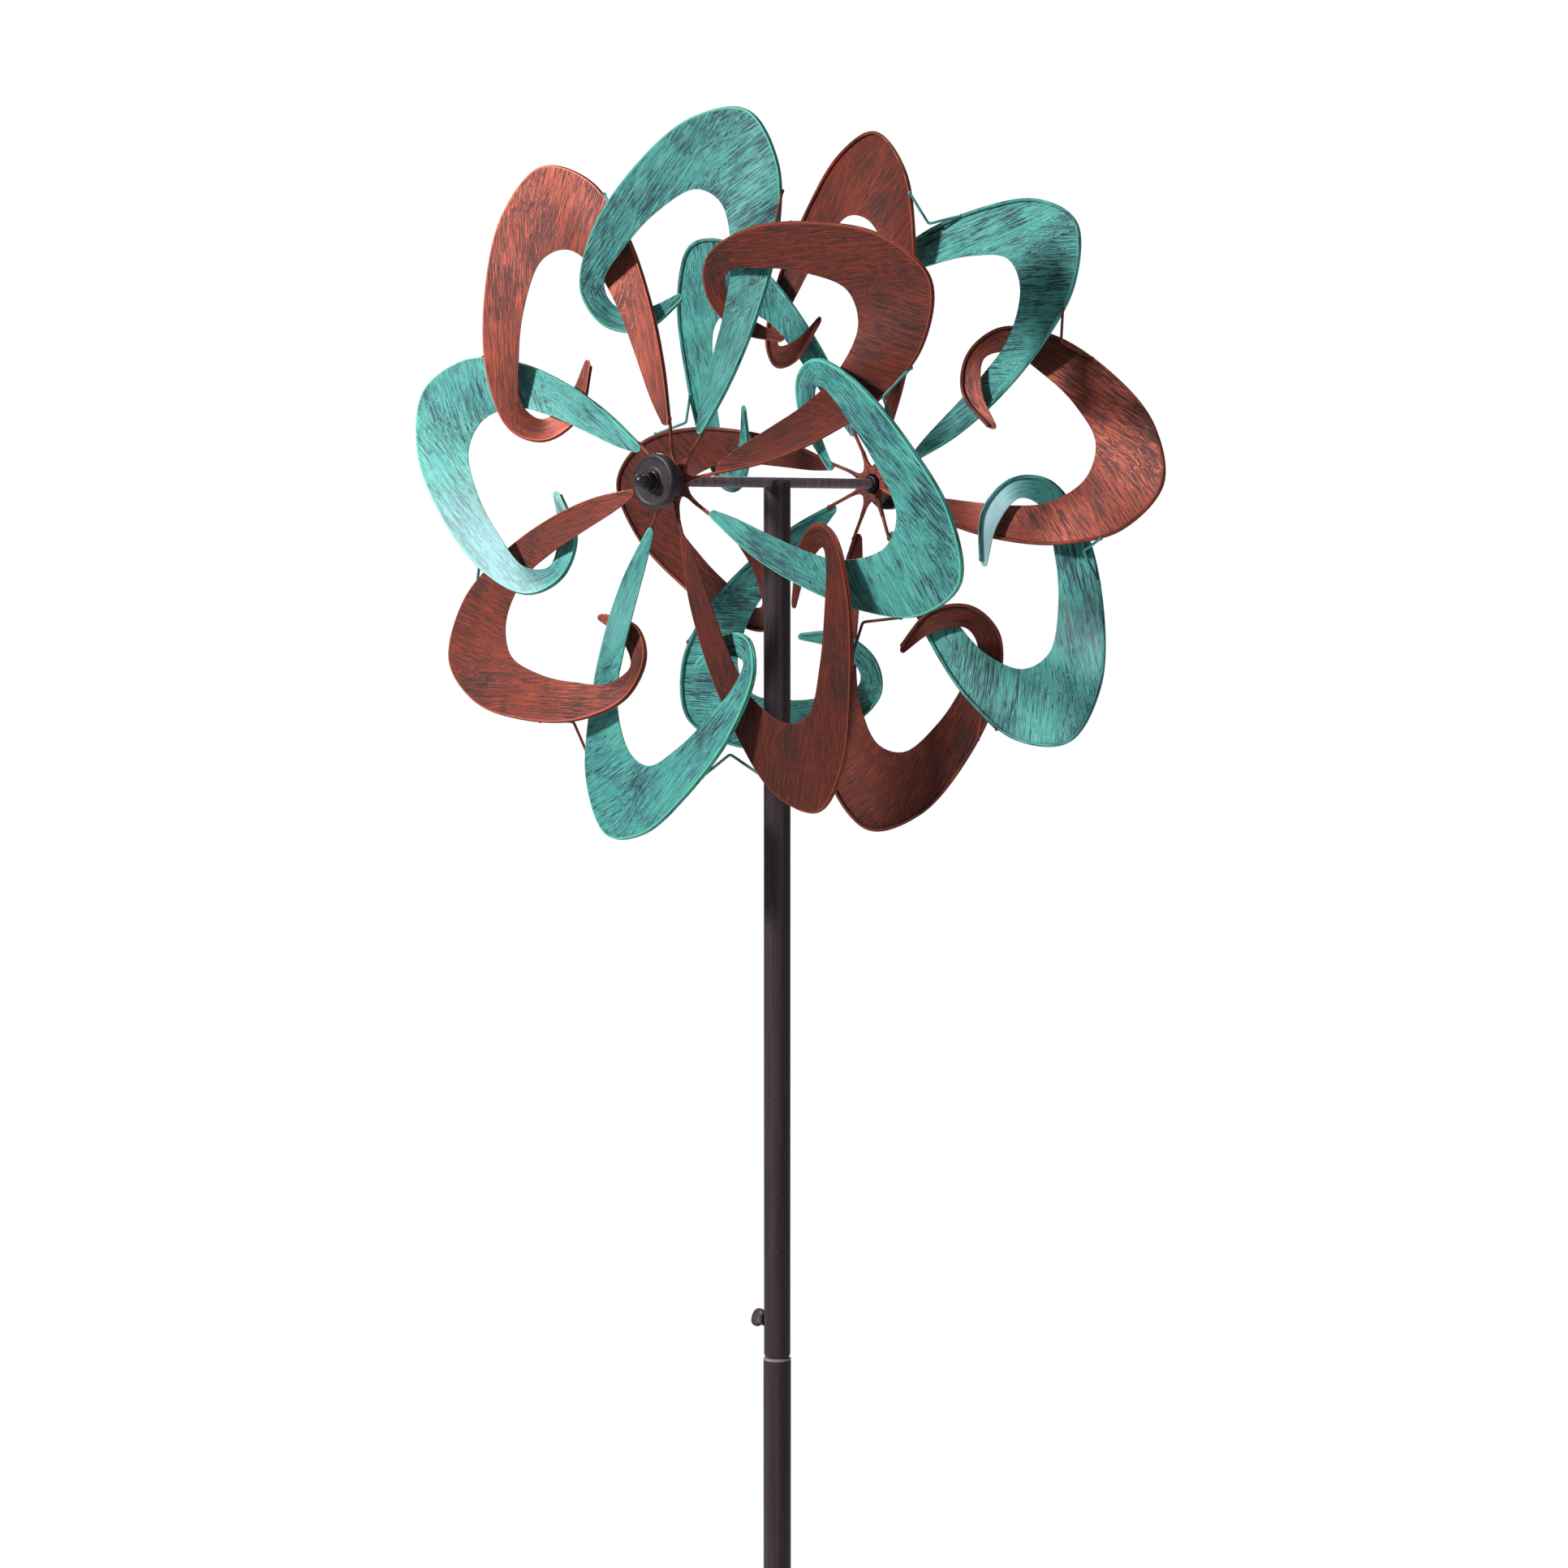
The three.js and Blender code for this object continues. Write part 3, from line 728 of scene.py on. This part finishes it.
def star_shape():
    """The star: a plate whose arms flare out of a disc in hollow curves, with a ridge along each arm."""
    outline = []
    for arm in range(BLADE_COUNT):
        turn = ARM_TURN + arm * 2 * math.pi / BLADE_COUNT
        out = Vector((math.cos(turn), math.sin(turn), 0))
        side = Vector((-out.y, out.x, 0))
        valley_turn = math.pi / BLADE_COUNT
        for sign in (-1, 1):
            valley = STAR_VALLEY * (out * math.cos(valley_turn) + side * sign * math.sin(valley_turn))
            root = out * (STAR_VALLEY + 1 * MM) + side * sign * ARM_HALF_WIDTH
            end = out * ARM_REACH + side * sign * ARM_HALF_WIDTH
            line = arc(valley, root, end, 9)
            outline += line if sign < 0 else line[::-1]
    shape = Shape()
    tops, bottoms, bore_tops, bore_bottoms = [], [], [], []
    for spot in outline:
        bore = spot.normalized() * STAR_BORE
        thin = STAR_HALF if spot.length < STAR_VALLEY * 1.3 else STAR_HALF * 0.8
        tops.append(shape.point((spot.x, spot.y, thin)))
        bottoms.append(shape.point((spot.x, spot.y, -thin)))
        bore_tops.append(shape.point((bore.x, bore.y, STAR_HALF)))
        bore_bottoms.append(shape.point((bore.x, bore.y, -STAR_HALF)))
    shape.skin([tops, bottoms, bore_bottoms, bore_tops, tops], capped=False)
    return shape


def ridge_shape():
    """The arms' round rods, laid along the star's arms so that they stand out of its inner face."""
    shape = Shape()
    # Brighter than the blade paint: a painted highlight on the thin ridge rods.
    shape.tone = 0.1
    for arm in range(BLADE_COUNT):
        turn = ARM_TURN + arm * 2 * math.pi / BLADE_COUNT
        out = Vector((math.cos(turn), math.sin(turn), 0))
        path = [out * (11 + 1.9 * step) * MM + Vector((0, 0, -0.9 * MM)) for step in range(11)]
        shape.tube(path, ROD_RADIUS, 10, 3 + arm)
    return shape


def cap_shape():
    """The hub's cap: a shallow cup with a raised rim and a raised middle."""
    radius = 22.5 * MM
    shape = Shape()
    corners = [
        (radius - 1.6 * MM, CAP_START, 0.3 * MM),
        (radius, CAP_START, 0.4 * MM),
        (radius, CAP_END - 0.1 * MM, 2.4 * MM),
        (radius - 3.4 * MM, CAP_END, 0.5 * MM),
        (radius - 4.4 * MM, CAP_END - 0.5 * MM, 0.4 * MM),
        (11.5 * MM, CAP_END - 0.5 * MM, 0.4 * MM),
        (10.6 * MM, CAP_END, 0.4 * MM),
        (7 * MM, CAP_END, 0.3 * MM),
        (7 * MM, BARREL_END + 0.3 * MM, 0),
        (radius - 1.6 * MM, BARREL_END + 0.3 * MM, 0.5 * MM),
    ]
    shape.turned(rounded_profile(corners), 72)
    return shape


def ring_shape(inner, outer, bottom, top, fillet=0.3 * MM):
    """A plain ring about z, with rounded edges."""
    shape = Shape()
    corners = [(inner, bottom, fillet), (outer, bottom, fillet), (outer, top, fillet), (inner, top, fillet)]
    shape.turned(rounded_profile(corners))
    return shape


def bearing_balls_shape():
    """A row of balls in a plain cage."""
    shape = Shape()
    circle, middle = 7.7 * MM, BARREL_END - 7 * MM
    ball_count = 6
    for ball in range(ball_count):
        turn = 2 * math.pi * ball / ball_count
        centre = Vector((circle * math.cos(turn), circle * math.sin(turn), middle))
        blob(shape, centre, (1.2 * MM, 1.2 * MM, 1.2 * MM), 0, 0.0)
    corners = [
        (circle - 0.4 * MM, middle - 0.9 * MM, 0),
        (circle + 0.4 * MM, middle - 0.9 * MM, 0),
        (circle + 0.4 * MM, middle + 0.9 * MM, 0),
        (circle - 0.4 * MM, middle + 0.9 * MM, 0),
    ]
    shape.turned(rounded_profile(corners), 36)
    return shape


def hexagon_radius(turn, flat):
    """The distance from a hexagon's middle to its side, in a direction."""
    sector = (turn % (math.pi / 3)) - math.pi / 6
    return flat / math.cos(sector)


def hexagonal_rows(shape, levels, flat):
    """Rings at levels of (radius, height), or (None, height, limit): a hexagon with its corners cut off."""
    sides = 72
    turns = [2 * math.pi * side / sides for side in range(sides)]
    rows = []
    for radius, height, *limit in levels:
        row = []
        for turn in turns:
            reach = min(hexagon_radius(turn, flat), *limit) if limit else radius
            row.append(shape.point((reach * math.cos(turn), reach * math.sin(turn), height)))
        rows.append(row)
    return rows


def dome_nut_shape():
    """A flanged dome nut: chamfered hexagon, waist and polished dome."""
    shape = Shape()
    flat, corner = 6.93 * MM, 7.75 * MM
    top = NUT_START + 7 * MM
    dome = 6.3 * MM
    levels = [
        (4.3 * MM, FLANGE_START),
        (8.6 * MM, FLANGE_START),
        (9.0 * MM, FLANGE_START + 0.35 * MM),
        (9.0 * MM, FLANGE_START + 1.1 * MM),
        (8.5 * MM, NUT_START - 0.2 * MM),
        (None, NUT_START, corner),
        (None, NUT_START + 1.2 * MM, 8 * MM),
        (None, top - 1.3 * MM, 8 * MM),
        (None, top - 0.5 * MM, corner - 0.25 * MM),
        (None, top, 7.05 * MM),
        (dome, top + 0.35 * MM),
        (dome, NUT_END - dome),
    ]
    for step in range(1, 9):
        tilt = math.pi / 2 * step / 8.4
        levels.append((dome * math.cos(tilt), NUT_END - dome + dome * math.sin(tilt)))
    shape.skin(hexagonal_rows(shape, levels, flat))
    return shape


def make_rotor(side, turn, odd, even):
    """A rotor with its hub, and the nut, collar and inner ring that stay on the axle."""
    body = f"{side}_rotor"
    slots = {COPPER.name: "copper", VERDIGRIS.name: "verdigris"}
    for number in range(1, BLADE_COUNT + 1):
        material = odd if number % 2 else even
        place = rotor_place(side, turn + 360 / BLADE_COUNT * (number - 1))
        seed = number * 3.7 + (40 if side == "back" else 0)
        blade, rod = f"{side}_blade_{number}", f"{side}_rim_rod_{number}"
        slot = slots[material.name]
        make_piece(f"{blade}_strip", blade_shape(blade, seed), material, body, [blade], place, 50)
        make_piece(f"{rod}_wire", rim_rod_shape(seed), material, body, [rod], place, 60)
        make_piece(f"{rod}_root", arm_root_shape(seed), COPPER, body, [], place, 60)
    place = rotor_place(side, turn)
    star = [f"{side}_hub_star"]
    make_piece(f"{side}_star_plate", star_shape(), COPPER, body, star, place, 30, 0.7 * MM)
    make_piece(f"{side}_star_ridges", ridge_shape(), COPPER, body, [], place, 60)
    barrel = ring_shape(11.3 * MM, 14 * MM, BARREL_START, BARREL_END)
    outer_ring = ring_shape(9.2 * MM, 11 * MM, BARREL_START + 0.3 * MM, BARREL_END - 0.3 * MM)
    for name, shape, material, slot, node in (
        ("cap_cup", cap_shape(), CAP_PAINT, "cap_paint", "hub_cap"),
        ("barrel_ring", barrel, POLE_PAINT, "pole_paint", "hub_barrel"),
        ("bearing_outer", outer_ring, STEEL, "steel", "bearing_outer_ring"),
        ("bearing_cage", bearing_balls_shape(), STEEL, "steel", "bearing_balls"),
    ):
        make_piece(f"{side}_{name}", shape, material, body, [f"{side}_{node}"], place)

    still = rotor_place(side, 0)
    inner_ring = ring_shape(4.3 * MM, 6.2 * MM, BARREL_START + 0.3 * MM, CAP_END + 0.3 * MM)
    collar = ring_shape(4.8 * MM, 7.4 * MM, -6 * MM, 2 * MM, 0.6 * MM)
    for name, shape, material, slot, node, sharp in (
        ("bearing_inner", inner_ring, STEEL, "steel", "bearing_inner_ring", 35),
        ("collar_ring", collar, NUT_BLACK, "pole_paint", "shaft_collar", 35),
        ("acorn_nut", dome_nut_shape(), NUT_BLACK, "nut_black", "dome_nut", 24),
    ):
        make_piece(f"{side}_{name}", shape, material, "mast", [f"{side}_{node}"], still, sharp)


make_rotor("front", REST_TURN["front"], VERDIGRIS, COPPER)
make_rotor("back", REST_TURN["back"], COPPER, VERDIGRIS)


# ---------------------------------------------------------------- axle and poles
def axle_shape():
    """The axle about z, turned down at both ends."""
    shoulder = HUB_OFFSET + BARREL_START - 0.3 * MM
    end = HUB_OFFSET + NUT_END - 4 * MM
    wide, narrow = 4.5 * MM, 4 * MM
    profile = [(0.2 * MM, -end), (narrow - 0.8 * MM, -end), (narrow, -end + 0.8 * MM)]
    profile += [(narrow, -shoulder - 0.4 * MM), (wide - 0.3 * MM, -shoulder), (wide, -shoulder + 0.3 * MM)]
    profile += [(radius, -height) for radius, height in reversed(profile)]
    shape = Shape()
    shape.turned(profile, 40, closed=False)
    return shape


def upper_pole_shape():
    """The upper pole: a tube with a plug in its top."""
    low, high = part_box("upper_pole")
    plug_bottom = high.z - 16 * MM
    shape = Shape()
    corners = [
        (POLE_BORE, low.z, 0.3 * MM),
        (POLE_RADIUS - 1.3 * MM, low.z, 0.2 * MM),
        (POLE_RADIUS, low.z + 1.7 * MM, 1.0 * MM),
        (POLE_RADIUS, high.z, 1.6 * MM),
        (1 * MM, high.z, 0),
        (1 * MM, plug_bottom, 0),
        (POLE_BORE, plug_bottom, 1 * MM),
    ]
    shape.turned(rounded_profile(corners), 56)
    return shape


def cut_round(piece, centre, axis, radius, depth):
    """Cuts a round hole through a piece, with a boolean that is applied at once."""
    cutter = Shape()
    hollow = radius * 0.01
    cutter.turned([(hollow, -depth), (radius, -depth), (radius, depth), (hollow, depth)], 40, False)
    mesh = bpy.data.meshes.new("cutter")
    turn = Vector((0, 0, 1)).rotation_difference(Vector(axis)).to_matrix().to_4x4()
    place = Matrix.Translation(centre) @ turn
    mesh.from_pydata([place @ point for point in cutter.points], [], cutter.faces)
    mend(mesh)
    tool = bpy.data.objects.new("cutter", mesh)
    bpy.context.scene.collection.objects.link(tool)
    modifier = piece.modifiers.new("cut", "BOOLEAN")
    modifier.operation = "DIFFERENCE"
    modifier.solver = "EXACT"
    modifier.object = tool
    bpy.context.view_layer.update()
    ready = piece.evaluated_get(bpy.context.evaluated_depsgraph_get())
    cut_mesh = bpy.data.meshes.new_from_object(ready)
    piece.modifiers.remove(modifier)
    old = piece.data
    piece.data = cut_mesh
    bpy.data.meshes.remove(old)
    bpy.data.objects.remove(tool)
    bpy.data.meshes.remove(mesh)
    piece.data.set_sharp_from_angle(angle=math.radians(35))


def saddle_weld_shape():
    """A rippled bead of weld metal where the axle lies in the pole's top."""
    shape = Shape()
    pole, axle = POLE_RADIUS - 0.4 * MM, 4.7 * MM
    for sign in (-1, 1):
        for flank in (-1, 1):
            path = []
            for step in range(13):
                part = step / 12
                reach = pole - 0.4 * MM
                x = flank * (axle + 0.2 * MM)
                y = sign * math.sqrt(max(reach**2 - x**2, 0)) * (1 - 0.95 * part)
                path.append(Vector((x, y, AXLE_HEIGHT + 0.9 * MM - 0.2 * MM * math.sin(9 * part))))
            shape.tube(path, 1.5 * MM, 10, 5)
            lower = []
            for step in range(9):
                tilt = math.radians(8 + 82 * step / 8)
                x = flank * (axle + 0.4 * MM) * math.cos(tilt)
                z = AXLE_HEIGHT - (axle + 0.4 * MM) * math.sin(tilt)
                y = sign * math.sqrt(max((pole + 0.2 * MM) ** 2 - x**2, 0))
                lower.append(Vector((x, y, z)))
            shape.tube(lower, 1.25 * MM, 10, 6)
    for step in range(14):
        part = step / 14
        turn = 2 * math.pi * part
        spot = Vector((5.4 * MM * math.cos(turn), 8.6 * MM * math.sin(turn), AXLE_HEIGHT + 0.8 * MM))
        if abs(spot.x) > 3.2 * MM:
            blob(shape, spot, (1.9 * MM, 1.9 * MM, 1.3 * MM), step, 0.35)
    return shape


def lower_pole_shape():
    """The lower pole: a tube with a painted highlight, a lighter band of paint, round its top."""
    low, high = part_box("lower_pole")
    radius = high.x
    painted_lit_band = 2.6 * MM
    shape = Shape()
    corners = [
        (POLE_BORE, low.z, 0),
        (radius, low.z, 0.4 * MM),
        (radius, high.z - painted_lit_band, 0),
        (radius, high.z - 1.2 * MM, 0.7 * MM),
        (radius - 1.4 * MM, high.z, 0.3 * MM),
        (POLE_BORE, high.z, 0.2 * MM),
    ]
    shape.turned(rounded_profile(corners), 56)
    # The band round the top carries the painted highlight.
    shape.painted_highlight = [float(point.z > high.z - 0.9 * painted_lit_band) for point in shape.points]
    return shape


BOSS_END = POLE_RADIUS + 2.5 * MM


def boss_shape():
    """A hexagonal weld nut with chamfered corners, about z."""
    shape = Shape()
    flat = 6.5 * MM
    bottom, top = POLE_RADIUS + 0.3 * MM, BOSS_END
    levels = [
        (3.3 * MM, bottom),
        (None, bottom, 7.4 * MM),
        (None, top - 0.8 * MM, 7.5 * MM),
        (None, top - 0.3 * MM, 6.9 * MM),
        (None, top, 6.4 * MM),
        (3.9 * MM, top),
        (3.3 * MM, top - 0.6 * MM),
    ]
    rows = hexagonal_rows(shape, levels, flat)
    shape.skin(rows + rows[:1], capped=False)
    return shape


def clamp_screw_shape():
    """A thumb screw about z: threaded shank, neck, and a pinched oval paddle."""
    shape = Shape()
    profile = [(0.3 * MM, POLE_BORE), (2.3 * MM, POLE_BORE)]
    height = POLE_BORE + 0.7 * MM
    while height < BOSS_END:
        profile += [(2.95 * MM, height), (2.95 * MM, height + 0.2 * MM), (2.5 * MM, height + 0.45 * MM)]
        height += 0.7 * MM
    profile += [(2.9 * MM, height), (4.1 * MM, BOSS_END + 0.3 * MM), (4.5 * MM, BOSS_END + 0.8 * MM)]
    profile += [(4.5 * MM, BOSS_END + 2.4 * MM), (3.9 * MM, BOSS_END + 3.2 * MM)]
    profile.append((0.3 * MM, BOSS_END + 3.6 * MM))
    shape.turned(profile, 36, closed=False)
    middle = Vector((0, 0, BOSS_END + 7.6 * MM))
    rings, sides = 16, 40
    rows = []
    for ring in range(rings + 1):
        tilt = math.pi * (0.012 + 0.976 * ring / rings)
        row = []
        for side in range(sides):
            turn = 2 * math.pi * side / sides
            x = math.sin(tilt) * math.cos(turn)
            z = math.sin(tilt) * math.sin(turn)
            y = math.cos(tilt)
            flatness = 1 - 0.22 * math.exp(-((x / 0.55) ** 2))
            spot = middle + Vector(
                (
                    math.copysign(abs(x) ** 0.9, x) * 8 * MM,
                    math.copysign(abs(y) ** 0.55, y) * 2.5 * MM * flatness,
                    math.copysign(abs(z) ** 0.9, z) * 7 * MM,
                )
            )
            row.append(shape.point(spot))
        rows.append(row)
    shape.skin(rows)
    return shape


ALONG_Y = Matrix.Translation((0, 0, AXLE_HEIGHT)) @ Matrix.Rotation(math.pi / 2, 4, "X")
make_piece("axle_bar", axle_shape(), LIT_AXLE_PAINT, "mast", ["axle"], ALONG_Y)
tube = upper_pole_shape()
upper_pole = make_piece("upper_pole_tube", tube, POLE_PAINT, "mast", ["upper_pole"])
cut_round(upper_pole, (0, 0, AXLE_HEIGHT), (0, 1, 0), 4.75 * MM, 30 * MM)
cut_round(upper_pole, (-POLE_RADIUS, 0, SCREW_HEIGHT), (1, 0, 0), 3.3 * MM, 6 * MM)
make_piece("axle_weld", saddle_weld_shape(), POLE_PAINT, "mast", sharp=60)
make_piece("lower_pole_tube", lower_pole_shape(), POLE_PAINT, "root", ["lower_pole"])
spigot_low, spigot_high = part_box("pole_spigot")
spigot = ring_shape(spigot_high.x - 2 * MM, spigot_high.x, spigot_low.z, spigot_high.z, 0.8 * MM)
make_piece("pole_spigot_tube", spigot, STEEL, "root", ["pole_spigot"])

SIDEWAYS = Matrix.Translation((0, 0, SCREW_HEIGHT)) @ Matrix.Rotation(-math.pi / 2, 4, "Y")
make_piece("clamp_nut", boss_shape(), POLE_PAINT, "mast", ["clamp_boss"], SIDEWAYS, 24)
turned = SIDEWAYS @ Matrix.Rotation(math.radians(25), 4, "Z")
paddle = clamp_screw_shape()
make_piece("clamp_thumb_screw", paddle, POLE_PAINT, "clamp_screw", ["clamp_screw"], turned)


# ---------------------------------------------------------------- foot
def foot_plate_shape():
    """A cross of flat bar with rounded ends and filled corners."""
    low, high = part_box("foot_plate")
    long, wide, corner = high.x, 15 * MM, 6 * MM
    outline = []
    for arm in range(4):
        turn = arm * math.pi / 2
        out, side = Vector((math.cos(turn), math.sin(turn))), Vector((-math.sin(turn), math.cos(turn)))
        outline.append(out * (wide + 3 * MM) - side * wide)
        for centre, begin in ((-1, -90), (1, 0)):
            middle = out * (long - corner) + side * centre * (wide - corner)
            for step in range(7):
                angle = math.radians(begin + 90 * step / 6)
                outline.append(middle + corner * (out * math.cos(angle) + side * math.sin(angle)))
        outline.append(out * (wide + 3 * MM) + side * wide)
        outline.append(out * (wide + 0.9 * MM) + side * (wide + 0.9 * MM))
    shape = Shape()
    low_ring = [shape.point((spot.x, spot.y, low.z)) for spot in outline]
    high_ring = [shape.point((spot.x, spot.y, high.z)) for spot in outline]
    shape.skin([low_ring, high_ring])
    return shape


def weld_ring_shape(radius, height, size, seed):
    """A bead of weld metal in a circle, as a row of lumps."""
    shape = Shape()
    count = max(10, int(2 * math.pi * radius / (1.9 * MM)))
    for step in range(count):
        turn = 2 * math.pi * step / count
        spot = Vector((radius * math.cos(turn), radius * math.sin(turn), height))
        blob(shape, spot, (size * 1.15, size * 1.15, size), seed + step, 0.3)
    return shape


def prong_shape():
    """A round bar that hangs from the foot plate and ends in a point."""
    length = 200 * MM
    shape = Shape()
    profile = [(0.25 * MM, -length), (0.8 * MM, -length + 1.6 * MM), (3.7 * MM, -length + 14.8 * MM)]
    profile += [(4 * MM, -length + 17 * MM), (4 * MM, -0.7 * MM)]
    profile += [(3.6 * MM, -0.3 * MM), (0.3 * MM, -0.3 * MM)]
    shape.turned(profile, 32, closed=False)
    return shape


cross = foot_plate_shape()
make_piece("foot_cross", cross, POLE_PAINT, "root", ["foot_plate"], sharp=30, bevel=0.8 * MM)
bead = weld_ring_shape(13 * MM, 5.4 * MM, 1.7 * MM, 3)
make_piece("foot_weld", bead, POLE_PAINT, "root", sharp=60)
PRONG_COUNT = 4
PRONG_CIRCLE = 62 * MM
for number in range(1, PRONG_COUNT + 1):
    turn = 2 * math.pi / PRONG_COUNT * (number - 1)
    place = Matrix.Translation((PRONG_CIRCLE * math.cos(turn), PRONG_CIRCLE * math.sin(turn), 0))
    prong = f"foot_prong_{number}"
    make_piece(f"{prong}_spike", prong_shape(), POLE_PAINT, "root", [prong], place)
    bead = weld_ring_shape(4.6 * MM, -0.9 * MM, 1.0 * MM, number * 9)
    make_piece(f"{prong}_weld", bead, POLE_PAINT, "root", place=place, sharp=60)


# ---------------------------------------------------------------- studio
FLOOR_RADIUS = 60
LIGHT_TARGET = Vector((0, 0, 1.45))


def make_floor():
    """A pale studio floor that brightens into a white sweep far from the object."""
    paint = Paint("studio_floor")
    position = paint.position()
    grain = paint.noise(position, 3, detail=3)
    body = paint.mix_colour(paint.ramp(grain, 0.3, 0.7), colour(238, 238, 240), colour(246, 246, 247))
    far = paint.node("ShaderNodeVectorMath", operation="LENGTH")
    paint.link(position, far.inputs[0])
    fade = paint.ramp(far.outputs["Value"], 0.9, 2.5, 0.5, 1.0)
    paint.finish(body, 0.7)
    seen = paint.node("ShaderNodeLightPath").outputs["Is Camera Ray"]
    fade = paint.math("MULTIPLY", fade, seen)
    glow = paint.node("ShaderNodeEmission")
    glow.inputs["Color"].default_value = (1, 1, 1, 1)
    glow.inputs["Strength"].default_value = 1.0
    blend = paint.node("ShaderNodeMixShader")
    paint.link(fade, blend.inputs[0])
    paint.link(paint.shader.outputs[0], blend.inputs[1])
    paint.link(glow.outputs[0], blend.inputs[2])
    output = next(node for node in paint.tree.nodes if node.type == "OUTPUT_MATERIAL")
    paint.link(blend.outputs[0], output.inputs["Surface"])
    mesh = bpy.data.meshes.new("studio_floor")
    count = 96
    angles = [2 * math.pi * corner / count for corner in range(count)]
    ring = [(FLOOR_RADIUS * math.cos(angle), FLOOR_RADIUS * math.sin(angle), 0) for angle in angles]
    mesh.from_pydata(ring, [], [tuple(range(count))])
    mesh.materials.append(paint.material)
    floor = bpy.data.objects.new("studio_floor", mesh)
    floor.location.z = cad_bounds[0].z
    bpy.context.scene.collection.objects.link(floor)


def make_light(name, location, size, power, tint=(1, 1, 1)):
    """A round lamp aimed at the rotors."""
    data = bpy.data.lights.new(name, "AREA")
    data.shape = "DISK"
    data.size = size
    data.energy = power
    data.color = tint
    light = bpy.data.objects.new(name, data)
    light.location = location
    way = LIGHT_TARGET - Vector(location)
    light.rotation_euler = way.to_track_quat("-Z", "Y").to_euler()
    bpy.context.scene.collection.objects.link(light)


def make_world():
    """White surroundings: full white behind the object, and a softer white as the light on it."""
    world = bpy.data.worlds.new("studio")
    bpy.context.scene.world = world
    world.use_nodes = True
    tree = world.node_tree
    tree.nodes.clear()
    seen = tree.nodes.new("ShaderNodeBackground")
    seen.inputs["Color"].default_value = (1, 1, 1, 1)
    seen.inputs["Strength"].default_value = 1.0
    fill = tree.nodes.new("ShaderNodeBackground")
    fill.inputs["Color"].default_value = (0.95, 0.97, 1, 1)
    fill.inputs["Strength"].default_value = 0.12
    path = tree.nodes.new("ShaderNodeLightPath")
    blend = tree.nodes.new("ShaderNodeMixShader")
    output = tree.nodes.new("ShaderNodeOutputWorld")
    tree.links.new(path.outputs["Is Camera Ray"], blend.inputs[0])
    tree.links.new(fill.outputs[0], blend.inputs[1])
    tree.links.new(seen.outputs[0], blend.inputs[2])
    tree.links.new(blend.outputs[0], output.inputs["Surface"])


make_floor()
make_world()
make_light("key", (-1.3, -3.0, 3.0), size=0.5, power=140, tint=(1, 0.985, 0.975))
make_light("fill", (3.4, -1.4, 2.0), size=2.0, power=15, tint=(0.97, 0.97, 1))
make_light("top", (0.3, 0.6, 4.4), size=1.4, power=24)
make_light("rear", (-2.6, 2.8, 2.2), size=1.6, power=72)

bpy.context.scene.view_settings.view_transform = "Standard"
